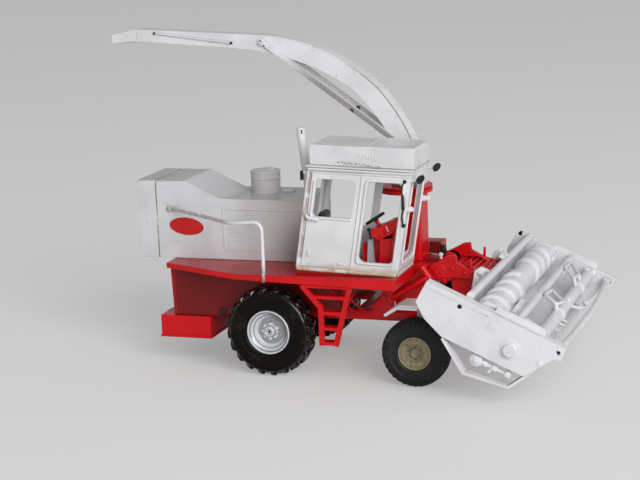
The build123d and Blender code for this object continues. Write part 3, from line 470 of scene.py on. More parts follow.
def wheel_metal(name, coat, wash_and_shade, gloss, shine, reach, grit, marks=None):
    """Wheel paint with a wash and painted shade round every step, and grit where the wash dried."""
    finish, place = blank(name)
    open_air = place.open_air(reach)
    mottle = place.noise(900.0, 4.0)
    # Dirt with painted shade: closed-in steps turn to the wash colour and become less metallic and rougher.
    dirt_and_corner_shade = (1.0 - open_air + mottle * 0.35).step(0.35, 0.85)
    patch = place.noise(2100.0, 3.0).step(0.5, 0.66) * grit
    colour = (dirt_and_corner_shade * 0.8).blend(coat, wash_and_shade)
    colour = patch.blend(colour, wash_and_shade)
    if marks:
        colour = marks(place, colour)
    bump = place.bump(0.35, 0.05, mottle)
    place.painted({"Base Color": colour, "Metallic": shine * (1.0 - dirt_and_corner_shade),
                    "Roughness": gloss + dirt_and_corner_shade * 0.35, "Normal": bump})
    return finish


def ringed(hub, rings, stain, side):
    """Marks for a rim: dark rings between pairs of radii, painted as the shade in its steps and
    hollows, and a colour painted down one side of its bowl as its light and shade.
    """

    def marks(place, colour):
        off_x, off_z = place.offsets(hub)
        squared = square(off_x, off_z)
        reach = squared.maths("POWER", squared, 0.5)
        for low, high, depth in rings:
            colour = (reach.between(low, high, 0.07) * depth).blend(colour, (0.07, 0.068, 0.066, 1.0))
        # Painted light and shade: the bowl's side towards the front and top takes the colour given as stain,
        # darker on the silver rim and lighter on the khaki one.
        bowl = reach.between(side[0], side[1], 0.3) * (off_x * 0.8 + off_z * 0.55).step(0.6, 2.6)
        return (bowl * 0.6).blend(colour, stain)

    return marks


# Painted shade: dark rings in the silver rim's steps, over its dish and at its drilled centre, and the
# darker stain colour as painted shade down one side of its bowl.
rim_marks = ringed(drive_hub, ((3.5, 3.6, 0.8), (3.0, 3.08, 0.7), (1.55, 2.42, 0.5), (0.5, 0.56, 0.7),
                               (0.0, 0.26, 0.95)), (0.17, 0.12, 0.08, 1.0), (2.5, 3.5))
silver_paint = wheel_metal("silver_paint", (0.74, 0.76, 0.80, 1.0), (0.16, 0.155, 0.15, 1.0), 0.28, 0.3,
                           0.5, 0.1, rim_marks)
drive_rim = ready(turned("drive_rim_right_metal", drive_hub, OUTWARD,
                         [(-0.6, 0.66), (-1.85, 0.66), (-1.9, 1.2), (-0.5, 1.35), (-0.45, 3.2), (-1.8, 3.55),
                          (-1.8, 3.99), (1.78, 3.99), (2.0, 3.92), (2.02, 3.74), (1.6, 3.62), (1.5, 3.42),
                          (1.2, 3.34), (1.12, 3.12), (1.2, 3.0), (0.7, 2.86), (0.35, 2.62), (0.3, 2.45),
                          (0.42, 2.3), (0.3, 2.2), (0.42, 1.75), (0.72, 1.0), (1.4, 0.9), (1.56, 0.78),
                          (1.54, 0.6), (1.34, 0.5), (1.36, 0.3), (1.26, 0.26), (1.26, 0.0)], 72, 0.05))
lobes = block("drive_lobes", drive_hub + Vector((0.0, -0.68 * MM, 1.36 * MM)), (0.72, 0.8, 0.86))
pick(lobes, "-y")
bpy.ops.transform.resize(value=(0.72, 1.0, 0.72))
bpy.ops.mesh.inset(thickness=0.14 * MM)
grow((0.0, -0.16, 0.0))
around(8, drive_hub)
ready(lobes, 0.08)
drive_rim = joined("drive_rim_right_metal", drive_rim, lobes)


def wheel_pair(kind, tyre, black, rim, paint, rim_slot):
    """Dresses a right wheel's tyre and rim, and mirrors each for the left wheel."""
    for piece, finish, slot, node in ((tyre, black, kind + "_tyre", kind + "_tyre_"),
                                      (rim, paint, rim_slot, kind + "_rim_")):
        dress(piece, finish, kind + "_wheel_right", slot, node + "right")
        other = mirrored(piece, piece.name.replace("right", "left"))
        dress(other, finish, kind + "_wheel_left", slot, node + "left")


wheel_pair("drive", drive_tyre, gloss_rubber, drive_rim, silver_paint, "silver_rim")

# Steered wheels. The small tyres have a ribbed tread with notched shoulders and are painted dull
# black, scuffed grey. Their rims are a drab khaki, rough to the touch, with two rings and a small
# hub, and one valve hole near the edge.
steer_hub = at(27.1, -15.0, 5.95)
band = ready(turned("steer_tyre_right_rubber", steer_hub, OUTWARD,
                    [(0.0, 2.93), (-1.5, 2.93), (-1.72, 3.2), (-1.9, 4.2), (-1.88, 4.9), (-1.62, 5.5),
                     (-1.3, 5.72), (-1.1, 5.9), (-0.62, 5.95), (-0.55, 5.7), (-0.3, 5.7), (-0.22, 5.95),
                     (0.22, 5.95), (0.3, 5.7), (0.55, 5.7), (0.62, 5.95), (1.1, 5.9), (1.3, 5.72),
                     (1.62, 5.5), (1.88, 4.9), (1.9, 4.3), (1.8, 4.24), (1.74, 3.5), (1.82, 3.4),
                     (1.72, 3.15), (1.5, 2.93), (0.0, 2.93)], 72, 0.07))
notches = block("steer_blocks", steer_hub + Vector((0.0, -1.3 * MM, 5.5 * MM)), (0.62, 0.5, 0.66))
pick(notches, "-y")
grow((-0.1, -0.28, -0.3), (-0.05, -0.12, -0.42))
ready(lugged(notches, steer_hub, 34), 0.1, 1, 30.0)
steer_tyre = joined("steer_tyre_right_rubber", band, notches)
dull_rubber = rubber("dull_rubber", (0.009, 0.010, 0.011, 1.0), (0.05, 0.05, 0.05, 1.0), 0.45, 0.47,
                     0.45, 0.3)
# Painted shade: dark rings in the khaki rim's steps. The lighter stain colour is painted light down one side
# of its bowl.
drab_marks = ringed(steer_hub, ((2.42, 2.5, 0.6), (1.5, 1.58, 0.5), (0.98, 1.12, 0.5), (0.66, 0.72, 0.4)),
                    (0.42, 0.36, 0.25, 1.0), (2.6, 2.9))
drab_paint = wheel_metal("drab_paint", (0.33, 0.27, 0.16, 1.0), (0.10, 0.075, 0.045, 1.0), 0.5, 0.0, 0.35,
                         0.55, drab_marks)
steer_rim = ready(turned("steer_rim_right_metal", steer_hub, OUTWARD,
                         [(-0.5, 0.66), (-1.45, 0.66), (-1.5, 1.2), (-0.4, 1.3), (-0.3, 2.3), (-1.4, 2.6),
                          (-1.4, 2.95), (1.46, 2.95), (1.62, 2.88), (1.62, 2.7), (1.3, 2.6), (1.2, 2.42),
                          (1.22, 2.2), (1.1, 2.12), (1.12, 1.62), (1.2, 1.55), (1.16, 1.38), (0.98, 1.3),
                          (1.0, 0.95), (1.28, 0.86), (1.5, 0.7), (1.5, 0.42), (1.36, 0.34), (1.36, 0.0)],
                         64, 0.04))
bolts = turned("steer_bolts", steer_hub + Vector((0.0, -1.0 * MM, 1.14 * MM)), OUTWARD,
               [(-0.2, 0.0), (-0.2, 0.17), (0.12, 0.16), (0.18, 0.1), (0.18, 0.0)], 8)
around(6, steer_hub)
ready(bolts)
valve = ready(turned("steer_valve", steer_hub + Vector((-1.35 * MM, -1.08 * MM, 1.35 * MM)), OUTWARD,
                     [(-0.1, 0.0), (-0.1, 0.26), (0.1, 0.26), (0.14, 0.2), (0.02, 0.14), (-0.02, 0.0)], 16))
steer_rim = joined("steer_rim_right_metal", steer_rim, bolts, valve)

wheel_pair("steer", steer_tyre, dull_rubber, steer_rim, drab_paint, "dull_rim")

# Front wheel guards. Each is a sheet cranked over the wheel, held by a stay from the chassis. They
# are thin white styrene, and their front edges are bare of paint.
WHITE = (0.745, 0.75, 0.77, 1.0)
# The colour that white corners turn to: a grey wash with painted shade.
GREY_WASH_AND_SHADE = (0.33, 0.30, 0.27, 1.0)
white_enamel = enamel("white_enamel", WHITE, GREY_WASH_AND_SHADE, 0.27)
repaint(white_enamel, "chassis", "white_paint", front_guard_right=0.1, front_guard_left=0.1)

# Rear casing, box and hitch. The casing is folded red sheet between the rails, with a shallow box
# under its tail and a flat tongue with one hole for towing. Glued and sprayed in one colour; the
# casing's darker red is painted shade, and its rear edge is painted light.


def body_marks(place, colour):
    """Painted light on the casing's rear edge, the strip that stands out of the shade."""
    x = place.millimetres()[0]
    return ((1.0 - x.step(-19.65, -19.45)) * 0.6).blend(colour, (0.42, 0.006, 0.01, 1.0))


# The casing's dark red is painted shade, standing for the shadow of the deck and wheel.
body_enamel = enamel("body_enamel", (0.19, 0.006, 0.007, 1.0), (0.06, 0.004, 0.004, 1.0), 0.3, body_marks)
repaint(body_enamel, "chassis", "red_paint", rear_body=0.16)
repaint(red_enamel, "chassis", "red_paint", rear_box=0.16, tow_hitch=0.08)
lip_low, lip_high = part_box("rear_box")
lip = block("rear_box_lip", Vector(((lip_low.x + lip_high.x) / 2, 0.0, lip_low.z + 0.22 * MM)),
            ((lip_high.x - lip_low.x) / MM + 0.3, (lip_high.y - lip_low.y) / MM + 0.3, 0.44))
ready(lip, 0.1)
dress(lip, red_enamel, "chassis", "red_paint")

# Deck and ladder. The deck is a flat plate whose edges turn down into an apron. The four steps of
# the ladder hang between a cranked stile and a slanted one. The plate's top is darkened with painted
# shade, so the apron looks brighter.


def deck_marks(place, colour):
    """Painted shade that darkens the plate's top, and a painted highlight along its right edge."""
    x, y, z = place.millimetres()
    # Painted shade on the top faces, and a painted highlight on the pale line along the edge.
    top = z.step(18.86, 18.97)
    edge = (y + 17.1).between(-0.16, -0.04, 0.08) * x.step(-6.0, -4.6) * top
    colour = (top * 0.85).blend(colour, (0.36, 0.006, 0.012, 1.0))
    return (edge * 0.5).blend(colour, (0.56, 0.05, 0.06, 1.0))


deck_enamel = enamel("deck_enamel", (0.64, 0.005, 0.008, 1.0), (0.20, 0.004, 0.005, 1.0), 0.24, deck_marks,
                     0.35)
dress(rounded("deck", 0.16, 3), deck_enamel, "chassis", "red_paint", "deck")
repaint(red_enamel, "chassis", "red_paint", ladder=0.1)

# Hood and radiator housing. Sheet boxes with a sloped step between two flat tops, meeting at an
# open seam behind. The sides carry a ribbed panel, and the back a slatted grille. Sprayed white.
SEAM = -23.93


def hood_marks(place, colour):
    """The dark open seam, a crease above the rail's root, stains where water ran down, painted
    shade on the flat tops, and painted shade with a warm painted reflection towards the cab.
    """
    x, y, z = place.millimetres()
    wander = place.noise(700.0, 3.0)
    seam = (x + wander * 0.12).between(SEAM, SEAM + 0.08, 0.07) * wander.step(0.3, 0.5)
    crease = (x + wander * 0.3).between(-21.72, -21.62, 0.05) * z.between(29.3, 32.2, 0.3)
    crease = crease * wander.step(0.46, 0.56) * (1.0 - y.step(-6.0, -5.0))
    stain = z.between(28.4, 28.9, 0.9) * x.between(-23.6, -21.4, 0.5) * wander.step(0.3, 0.7)
    stain = stain * (1.0 - y.step(-6.0, -5.0))
    # Painted shade on the near side, deepening towards the cab and warm with a painted reflection of the red
    # deck.
    shaded = x.step(-12.0, 4.0) * 0.62 * (1.0 - y.step(-6.5, -6.42))
    # Painted shade that greys the flat tops.
    low_top = z.between(29.9, 30.25, 0.1) * x.step(-12.0, -9.0)
    high_top = z.step(33.05, 33.15) * (1.0 - x.step(-18.6, -18.0) * 0.8)
    roof = (low_top + high_top) * (y.between(-6.45, 6.45, 0.08) * 0.6)
    colour = roof.blend(colour, (0.36, 0.34, 0.34, 1.0))
    colour = shaded.blend(colour, (0.38, 0.32, 0.30, 1.0))
    colour = (stain * 0.4).blend(colour, (0.36, 0.31, 0.24, 1.0))
    colour = (crease * 0.45).blend(colour, (0.12, 0.09, 0.08, 1.0))
    return (seam * 0.9).blend(colour, (0.13, 0.085, 0.065, 1.0))


hood_enamel = enamel("hood_enamel", (0.66, 0.665, 0.685, 1.0), (0.36, 0.33, 0.31, 1.0), 0.16,
                     hood_marks, 0.4, 0.55)
repaint(hood_enamel, "chassis", "white_paint", hood=0.14, radiator_housing=0.12)


def row(count, step):
    """Repeats a piece open for shaping, each copy one step on, in millimetres."""
    select_all()
    for _ in range(count):
        bpy.ops.mesh.duplicate()
        bpy.ops.transform.translate(value=tuple(part * MM for part in step))


def sink(piece, way, border, step):
    """Draws a border round the face on one side, and moves what it encloses by a step."""
    pick(piece, way)
    bpy.ops.mesh.inset(thickness=border * MM)
    grow(step)


def tapered(name, centre, size, way, shrink, width=0.0, rounds=2):
    """A block whose face on one side is drawn in, with its edges rounded."""
    piece = block(name, centre, size)
    pick(piece, way)
    bpy.ops.transform.resize(value=shrink)
    return ready(piece, width, rounds)


HOOD_SIDE = -6.6
panel = block("hood_panel_right", at(-3.0, HOOD_SIDE, 24.7), (16.0, 0.24, 7.9))
sink(panel, "-y", 0.42, (0.0, 0.07, 0.0))
ready(panel, 0.05)
ribs = block("hood_ribs", at(-3.0, -6.66, 21.3), (14.9, 0.1, 0.17))
pick(ribs, "-y")
bpy.ops.transform.resize(value=(1.0, 1.0, 0.45))
row(19, (0.0, 0.0, 0.36))
ready(ribs)
panel = joined("hood_panel_right", panel, ribs)
dress(panel, hood_enamel, "chassis", "white_paint")
dress(mirrored(panel, "hood_panel_left"), hood_enamel, "chassis", "white_paint")

grille = block("radiator_grille", at(-27.6, 0.0, 26.3), (0.5, 11.4, 12.4))
sink(grille, "-x", 0.5, (0.36, 0.0, 0.0))
ready(grille, 0.06)
slats = block("radiator_slats", at(-27.68, 0.0, 20.75), (0.3, 10.4, 0.4))
pick(slats, "-x")
bpy.ops.transform.translate(value=(0.0, 0.0, -0.16 * MM))
row(14, (0.0, 0.0, 0.79))
ready(slats, 0.04, 1)
dress(joined("radiator_grille", grille, slats), hood_enamel, "chassis", "white_paint")

screw = ready(turned("radiator_screw", at(-25.8, HOOD_SIDE, 25.7), OUTWARD,
                     [(-0.1, 0.0), (-0.1, 0.42), (0.02, 0.4), (0.07, 0.3), (0.04, 0.0)], 20))
dress(screw, hood_enamel, "chassis", "white_paint")
roof_box = tapered("hood_top_box", at(-1.25, 2.2, 30.38), (2.2, 1.7, 0.5), "+z", (0.9, 0.86, 1.0), 0.12)
dress(roof_box, hood_enamel, "chassis", "white_paint")

# Hood badge. A plain red oval of thin film, without any lettering, is stuck to the hood's right
# side. It has a slightly darker printed border and a satin face.
badge_middle = at(-18.2, HOOD_SIDE, 25.0)
badge = turned("hood_badge", badge_middle, OUTWARD,
               [(-0.05, 0.0), (-0.05, 1.62), (0.05, 1.62), (0.075, 1.55), (0.075, 0.0)], 72)
bpy.ops.transform.resize(value=(2.07, 1.0, 1.0), center_override=badge_middle)
bpy.ops.transform.rotate(value=math.radians(-4.0), orient_axis="Y", center_override=badge_middle)
ready(badge)


def film(name, coat, border, middle, reach):
    """Printed film with a border just inside an oval's edge."""
    finish, place = blank(name)
    off_x, off_z = place.offsets(middle)
    across = off_x * (1.0 / reach[0])
    upward = off_z * (1.0 / reach[1])
    edge = square(across, upward).step(0.8, 0.9)
    mottle = place.noise(500.0, 3.0)
    colour = (edge * 0.5 + mottle * 0.3).blend(coat, border)
    place.painted({"Base Color": colour, "Roughness": mottle * 0.2 + 0.25,
                    "Specular IOR Level": 0.3})
    return finish


badge_film = film("badge_film", (0.60, 0.012, 0.014, 1.0), (0.40, 0.008, 0.01, 1.0), badge_middle,
                  (3.4, 1.65))
dress(badge, badge_film, "chassis", "red_paint")

# Air cleaner. A turned drum on the hood has a foot flange, a rolled band and a shallow lid, and a
# small peg off its centre. It is white like the hood, greyed over its sides and less on its lid, with
# painted shade in its steps.
UPWARD = (0.0, 0.0, 1.0)
drum = ready(turned("air_cleaner_drum", at(-5.6, 1.9, 30.2), UPWARD,
                    [(-0.1, 0.0), (-0.1, 2.8), (0.14, 2.8), (0.22, 2.68), (2.4, 2.7), (2.46, 2.78),
                     (2.62, 2.8), (2.78, 2.78), (2.84, 2.7), (3.62, 2.72), (3.7, 2.79), (3.95, 2.77),
                     (4.02, 2.6), (3.96, 2.3), (4.12, 0.9), (4.14, 0.0)], 72, 0.04))


def lumpy(piece, depth, seed, angle=80.0):
    """Roughens a piece open for shaping, as solder or filler would be, and finishes it."""
    bpy.ops.transform.vertex_random(offset=depth * MM, seed=seed)
    return ready(piece, 0.0, 2, angle)


peg = turned("air_cleaner_peg", at(-4.7, 2.1, 34.25), UPWARD,
             [(-0.1, 0.0), (-0.1, 0.95), (0.06, 0.86), (0.2, 0.6), (0.34, 0.4), (0.46, 0.2),
              (0.5, 0.0)], 16)
lumpy(peg, 0.06, 4, 70.0)
nut = ready(turned("air_cleaner_nut", at(-4.0, -0.35, 32.95), (0.5, -0.86, 0.0),
                   [(-0.3, 0.0), (-0.3, 0.24), (0.08, 0.2), (0.16, 0.1), (0.18, 0.0)], 12))


def drum_marks(place, colour):
    """Greys the drum, less on its lid."""
    z = place.millimetres()[2]
    cloud = place.noise(800.0, 4.0)
    # A grey over the drum's sides, weaker on the lid's top.
    dust = (cloud * 0.3 + 0.6) * (1.0 - z.step(34.0, 34.3) * 0.4)
    return dust.blend(colour, (0.46, 0.43, 0.44, 1.0))


drum_enamel = enamel("drum_enamel", WHITE, (0.25, 0.20, 0.19, 1.0), 0.3, drum_marks)
dress(joined("air_cleaner_drum", drum, peg, nut), drum_enamel, "chassis", "white_paint", "air_cleaner")

# Exhaust. A length of tube leans back from its foot on the hood. Its mouth is bored open and
# dark inside, and a slot is filed in its near side just under the mouth.
MOUTH = (3.15, -2.5, 42.73)
EXHAUST_LEAN = 0.105


def exhaust_marks(place, colour):
    """The slot's painted shadow, and the bore darkened inside."""
    x, y, z = place.millimetres()
    off_x = x - MOUTH[0] - (MOUTH[2] - z) * EXHAUST_LEAN
    off_y = y - MOUTH[1]
    slot = off_x.between(0.3, 0.48, 0.05) * z.between(41.75, 42.4, 0.06) * (1.0 - y.step(-3.05, -2.95))
    # The inside of the bore, darkened.
    bore = (1.0 - square(off_x, off_y).step(0.25, 0.3)) * z.step(37.0, 38.0)
    return (slot + bore).blend(colour, (0.03, 0.027, 0.025, 1.0))


exhaust_enamel = enamel("exhaust_enamel", WHITE, GREY_WASH_AND_SHADE, 0.27, exhaust_marks)
repaint(exhaust_enamel, "chassis", "white_paint", exhaust_pipe=0.09)

# Handrail. One bent wire runs forward from the hood's rear corner, turns down ahead of the wheel
# and ends on the deck's edge. White paint has worn off its foot, and glue lies at its root.


def rail_marks(place, colour):
    """Bare wire at the foot, and paint gone dull along the upper run."""
    x, _, z = place.millimetres()
    worn = place.noise(1400.0, 3.0)
    bare = (1.0 - (z + worn * 5.0).step(21.6, 23.4)) * worn.step(0.3, 0.62)
    dull = (1.0 - (x + worn * 3.0).step(-6.0, -4.2)) * worn.step(0.25, 0.5)
    colour = (dull * 0.75).blend(colour, (0.38, 0.36, 0.35, 1.0))
    return bare.blend(colour, (0.2, 0.19, 0.18, 1.0))


rail_enamel = enamel("rail_enamel", WHITE, GREY_WASH_AND_SHADE, 0.25, rail_marks)
rail = rod("handrail_wire", [at(-21.2, -6.5, 28.3), at(-5.6, -16.6, 27.9), at(0.4, -16.9, 28.3),
                             at(0.4, -16.9, 18.9)], 0.33, 1.5, sides=5)
foot = rod("handrail_foot", [at(0.42, -16.95, 19.6), at(0.45, -17.35, 18.9), at(0.5, -17.42, 17.7)],
           0.3, 0.3)
root = turned("handrail_root", at(-21.4, -6.55, 28.2), (-0.2, -1.0, 0.1),
              [(-0.1, 0.0), (-0.1, 0.75), (0.05, 0.7), (0.25, 0.5), (0.45, 0.36), (0.5, 0.0)], 20)
lumpy(root, 0.12, 2)
dress(joined("handrail_wire", rail, foot, root), rail_enamel, "chassis", "white_paint", "handrail")

# Cab shell. Four etched walls lean forward on a floor plate. Wire beads are soldered round the
# windows, along the posts and under the roof. The white is thin and chipped, and rust shows below.
WALL_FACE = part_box("cab_right_wall")[0].y / MM
WALL_FOOT = 19.0
WALL_LEAN = 2.4 / 18.3
NOSE_DOWN = math.radians(2.2)
HINGE = (24.1, 19.5)


def cab(x, y, z):
    """A point on the cab, given as if the cab stood upright and level: its walls lean forward, and
    the whole cab is tipped about its floor's front edge."""
    along, above = x + WALL_LEAN * (z - WALL_FOOT) - HINGE[0], z - HINGE[1]
    return at(HINGE[0] + along * math.cos(NOSE_DOWN) + above * math.sin(NOSE_DOWN), y,
              HINGE[1] + above * math.cos(NOSE_DOWN) - along * math.sin(NOSE_DOWN))


def cab_place(place):
    """The same upright and level distances, read back from a place on the cab."""
    x, y, z = place.millimetres()
    along, above = x - HINGE[0], z - HINGE[1]
    level = along * math.sin(NOSE_DOWN) + above * math.cos(NOSE_DOWN) + HINGE[1]
    ahead = along * math.cos(NOSE_DOWN) - above * math.sin(NOSE_DOWN) + HINGE[0]
    return ahead - (level - WALL_FOOT) * WALL_LEAN, y, level


def cab_marks(place, colour):
    """Tan glue along the foot, painted shade beside the rear post, and dark chips scattered low down."""
    x, y, z = cab_place(place)
    fine = place.noise(1700.0, 4.0)
    broad = place.noise(500.0, 3.0)
    foot = 1.0 - (z - broad * 1.4).step(18.9, 19.9)
    # Painted shade in the strip beside the rear post, on the outside only.
    post = x.between(6.15, 6.6, 0.14) * z.between(21.5, 36.4, 0.4) * broad.step(0.26, 0.5)
    post = post * (1.0 - y.step(-14.95, -14.9))
    low = 1.0 - z.step(19.8, 22.5)
    chips = fine.step(0.66, 0.7) * (low * 0.7 + 0.03)
    colour = (foot * 0.7).blend(colour, (0.50, 0.41, 0.31, 1.0))
    colour = (post * 0.8).blend(colour, (0.36, 0.27, 0.23, 1.0))
    return chips.blend(colour, (0.10, 0.08, 0.07, 1.0))


CAB_WHITE = (0.745, 0.75, 0.765, 1.0)
# The colour that the cab's corners turn to: a wash with painted shade.
CAB_WASH_AND_SHADE = (0.36, 0.33, 0.30, 1.0)
cab_enamel = enamel("cab_enamel", CAB_WHITE, CAB_WASH_AND_SHADE, 0.25, cab_marks, 0.6)
repaint(cab_enamel, "chassis", "white_paint", cab_right_wall=0.12, cab_door=0.1, cab_left_wall=0.12,
        cab_front_frame=0.12, cab_rear_wall=0.12)


def floor_marks(place, colour):
    """The floor plate's side, red like the deck and darkened as painted shade under the cab's wall."""
    y = place.millimetres()[1]
    return (1.0 - y.step(-15.24, -15.16)).blend(colour, (0.36, 0.008, 0.01, 1.0))


floor_enamel = enamel("floor_enamel", CAB_WHITE, CAB_WASH_AND_SHADE, 0.25, floor_marks)
repaint(floor_enamel, "chassis", "white_paint", cab_floor=0.1)


def bead(name, corners, radius, bend=0.0, closed=False, lift=0.04):
    """A wire bead soldered to the right wall, closed when it runs all round a window."""
    line = [cab(x, WALL_FACE - lift, z) for x, z in corners]
    return rod(name, line, radius, bend, closed)


beads = [bead("door_window_bead", ((7.3, 35.0), (7.3, 28.45), (14.5, 28.45)), 0.24, 0.4),
         bead("front_window_bead", ((16.53, 20.98), (23.12, 20.98), (23.12, 35.5), (16.53, 35.5)), 0.24,
              0.6, True),
         bead("rear_post_bead", ((5.98, 19.5), (5.98, 36.7)), 0.3),
         bead("door_seam_bead", ((15.67, 20.0), (15.67, 36.5)), 0.2, lift=0.0),
         bead("door_foot_bead", ((6.5, 19.95), (15.65, 19.95)), 0.14, lift=0.0),
         bead("eave_bead", ((5.8, 37.0), (24.1, 37.0)), 0.22),
         bead("head_bead", ((6.3, 36.46), (23.9, 36.46)), 0.15)]
dress(joined("cab_beads", *beads), cab_enamel, "chassis", "white_paint")
frame_bead = rod("windscreen_bead", [cab(24.16, -13.8, 21.0), cab(24.16, -6.5, 21.0),
                                     cab(24.16, -6.5, 36.0), cab(24.16, -13.8, 36.0)], 0.2, 0.8, True)
dress(frame_bead, cab_enamel, "chassis", "white_paint")

# Sill under the cab's right wall: a bead of filler, laid along the joint with a brush and never
# rubbed down. It is lumpy, and stained tan by the glue.
sill = rod("cab_sill", [cab(5.9 + step * 0.45, -15.3, 19.3) for step in range(41)], 0.34)
bpy.ops.object.mode_set(mode="EDIT")
select_all()
lumpy(sill, 0.07, 7)


def stained(name, coat, stain, low, high):
    """Filler with stains in blotches that run from low to high in the noise."""
    finish, place = blank(name)
    blotch = place.noise(620.0, 4.0)
    fine = place.noise(2300.0, 3.0)
    colour = blotch.step(low, high).blend(coat, stain)
    colour = (fine.step(0.55, 0.7) * 0.5).blend(colour, (0.34, 0.24, 0.15, 1.0))
    bump = place.bump(0.6, 0.08, blotch + fine * 0.5)
    place.painted({"Base Color": colour, "Roughness": fine * 0.2 + 0.35,
                    "Normal": bump})
    return finish


filler = stained("stained_filler", (0.70, 0.66, 0.60, 1.0), (0.52, 0.42, 0.30, 1.0), 0.35, 0.6)
dress(sill, filler, "chassis", "white_paint")

# Door fittings and post lugs. A bent wire makes the door's handle, and small blocks its catches.
# A lug stands on each front post for a mirror. All are soldered on and painted over with the cab.
handle = rod("door_handle", [cab(6.0, -15.3, 30.3), cab(6.15, -15.75, 29.4), cab(6.75, -15.8, 28.5),
                             cab(9.0, -15.7, 28.2)], 0.3, 0.5, sides=4)
catch = tapered("door_catch", cab(7.75, -15.35, 22.1), (0.5, 0.5, 1.3), "-y", (0.7, 1.0, 0.6), 0.14)
hinge = tapered("door_hinge", cab(13.6, -15.35, 20.6), (0.9, 0.35, 0.45), "-y", (0.7, 1.0, 0.7), 0.12)
dress(joined("door_fittings", handle, catch, hinge), cab_enamel, "chassis", "white_paint")
for name, place, reach in (("post_lug_right", (26.5, -15.0, 30.86), 1.5),
                           ("post_lug_left", (26.7, -5.3, 30.95), 1.7)):
    lug = tapered(name, at(*place), (reach, 0.5, 1.1), "+x", (1.0, 0.9, 0.72), 0.2, 4)
    dress(lug, cab_enamel, "chassis", "white_paint")

# Cab roof. A hollow box on a gutter plate, with a separate lid over its front half and a row of
# slanted vents pressed into the right side. Its paint has chipped in a line under the vents.


def roof_marks(place, colour):
    """Chips in a slanting row on the right side, and a dark line where the box meets its gutter."""
    x, y, z = cab_place(place)
    fine = place.noise(3600.0, 3.0)
    near = 1.0 - y.step(-15.2, -15.0)
    row = x.between(10.8, 18.6, 0.5) * (z + x * 0.085).between(39.2, 39.55, 0.15) * near
    edge = z.between(37.68, 37.8, 0.06) * near
    chips = fine.step(0.5, 0.58) * row + edge * (fine * 0.6 + 0.4)
    return (chips * 0.85).blend(colour, (0.13, 0.10, 0.09, 1.0))


roof_enamel = enamel("roof_enamel", (0.71, 0.715, 0.73, 1.0), CAB_WASH_AND_SHADE, 0.27, roof_marks)
repaint(roof_enamel, "chassis", "white_paint", cab_roof=0.14)


def tipped():
    """Tips what is open for shaping nose-down with the cab."""
    select_all()
    bpy.ops.transform.rotate(value=-NOSE_DOWN, orient_axis="Y", center_override=at(HINGE[0], 0.0, HINGE[1]))


lid = block("cab_roof_lid", at(22.3, -10.15, 41.2), (8.9, 10.1, 0.2))
sink(lid, "+z", 0.5, (0.0, 0.0, -0.05))
tipped()
ready(lid, 0.06)
vents = block("cab_roof_vents", at(17.0, -15.32, 39.9), (0.16, 0.22, 0.95))
pick(vents, "+z")
bpy.ops.transform.translate(value=(-0.3 * MM, 0.0, 0.0))
pick(vents, "-y")
bpy.ops.transform.resize(value=(0.5, 1.0, 0.8))
row(7, (0.55, 0.0, -0.12))
tipped()
ready(vents, 0.04, 1)
dress(joined("cab_roof_lid", lid, vents), roof_enamel, "chassis", "white_paint")

# Cab fittings. Behind the driver's window stand a black seat, a red console with a hooded top, a
# bent post with a wire steering wheel, a pedal plate and one lever. Small castings, hand painted.
black_enamel = enamel("black_enamel", (0.014, 0.013, 0.013, 1.0), (0.05, 0.045, 0.04, 1.0), 0.3)
dress(rounded("seat", 0.5, 4), black_enamel, "chassis", "black_trim", "seat")
dress(rounded("console", 0.4, 4), red_enamel, "chassis", "red_paint", "console")
repaint(red_enamel, "chassis", "red_paint", steering_column=0.12)
wheel_low, wheel_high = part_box("steering_wheel")
wheel_middle = (wheel_low + wheel_high) / 2
bpy.ops.object.select_all(action="DESELECT")
WHEEL_TILT = math.radians(32.2)
bpy.ops.mesh.primitive_torus_add(location=wheel_middle, major_radius=1.66 * MM, minor_radius=0.29 * MM,
                                 major_segments=40, minor_segments=10, rotation=(0.0, -WHEEL_TILT, 0.0))
steering_ring = bpy.context.object
ready(steering_ring)
tilt = Vector((-math.sin(WHEEL_TILT), 0.0, math.cos(WHEEL_TILT)))
spokes = []
for turn in range(3):
    angle = math.tau * turn / 3 + 0.4
    reach = Vector((math.cos(angle) * tilt.z, math.sin(angle), -math.cos(angle) * tilt.x))
    spokes.append(rod("steering_spoke", [wheel_middle, wheel_middle + reach * (1.6 * MM)], 0.17))
boss = ready(turned("steering_boss", wheel_middle, tilt,
                    [(-0.45, 0.0), (-0.45, 0.45), (0.1, 0.42), (0.26, 0.3), (0.3, 0.0)], 20))
dress(joined("steering_ring", steering_ring, boss, *spokes), black_enamel, "chassis", "black_trim",
      "steering_wheel")

pedals = block("pedal_sheet", at(18.2, -10.9, 22.3), (1.5, 0.3, 4.5))
pick(pedals, "+z")
bpy.ops.transform.resize(value=(0.6, 1.0, 1.0))
sink(pedals, "-y", 0.14, (0.0, 0.06, 0.0))
ready(pedals, 0.05)
steel = wheel_metal("pale_steel", (0.60, 0.63, 0.67, 1.0), (0.20, 0.21, 0.23, 1.0), 0.25, 0.3, 0.5, 0.15)
dress(pedals, steel, "chassis", "grey_plate", "pedal_plate")


def plate(name, ring, run, edge=0.05):
    """A flat piece of sheet: a closed outline, filled, and given its thickness along run."""
    piece = traced(name, ring, True)
    bpy.ops.mesh.edge_face_add()
    grow(run)
    select_all()
    bpy.ops.mesh.normals_make_consistent(inside=False)
    return ready(piece, edge)


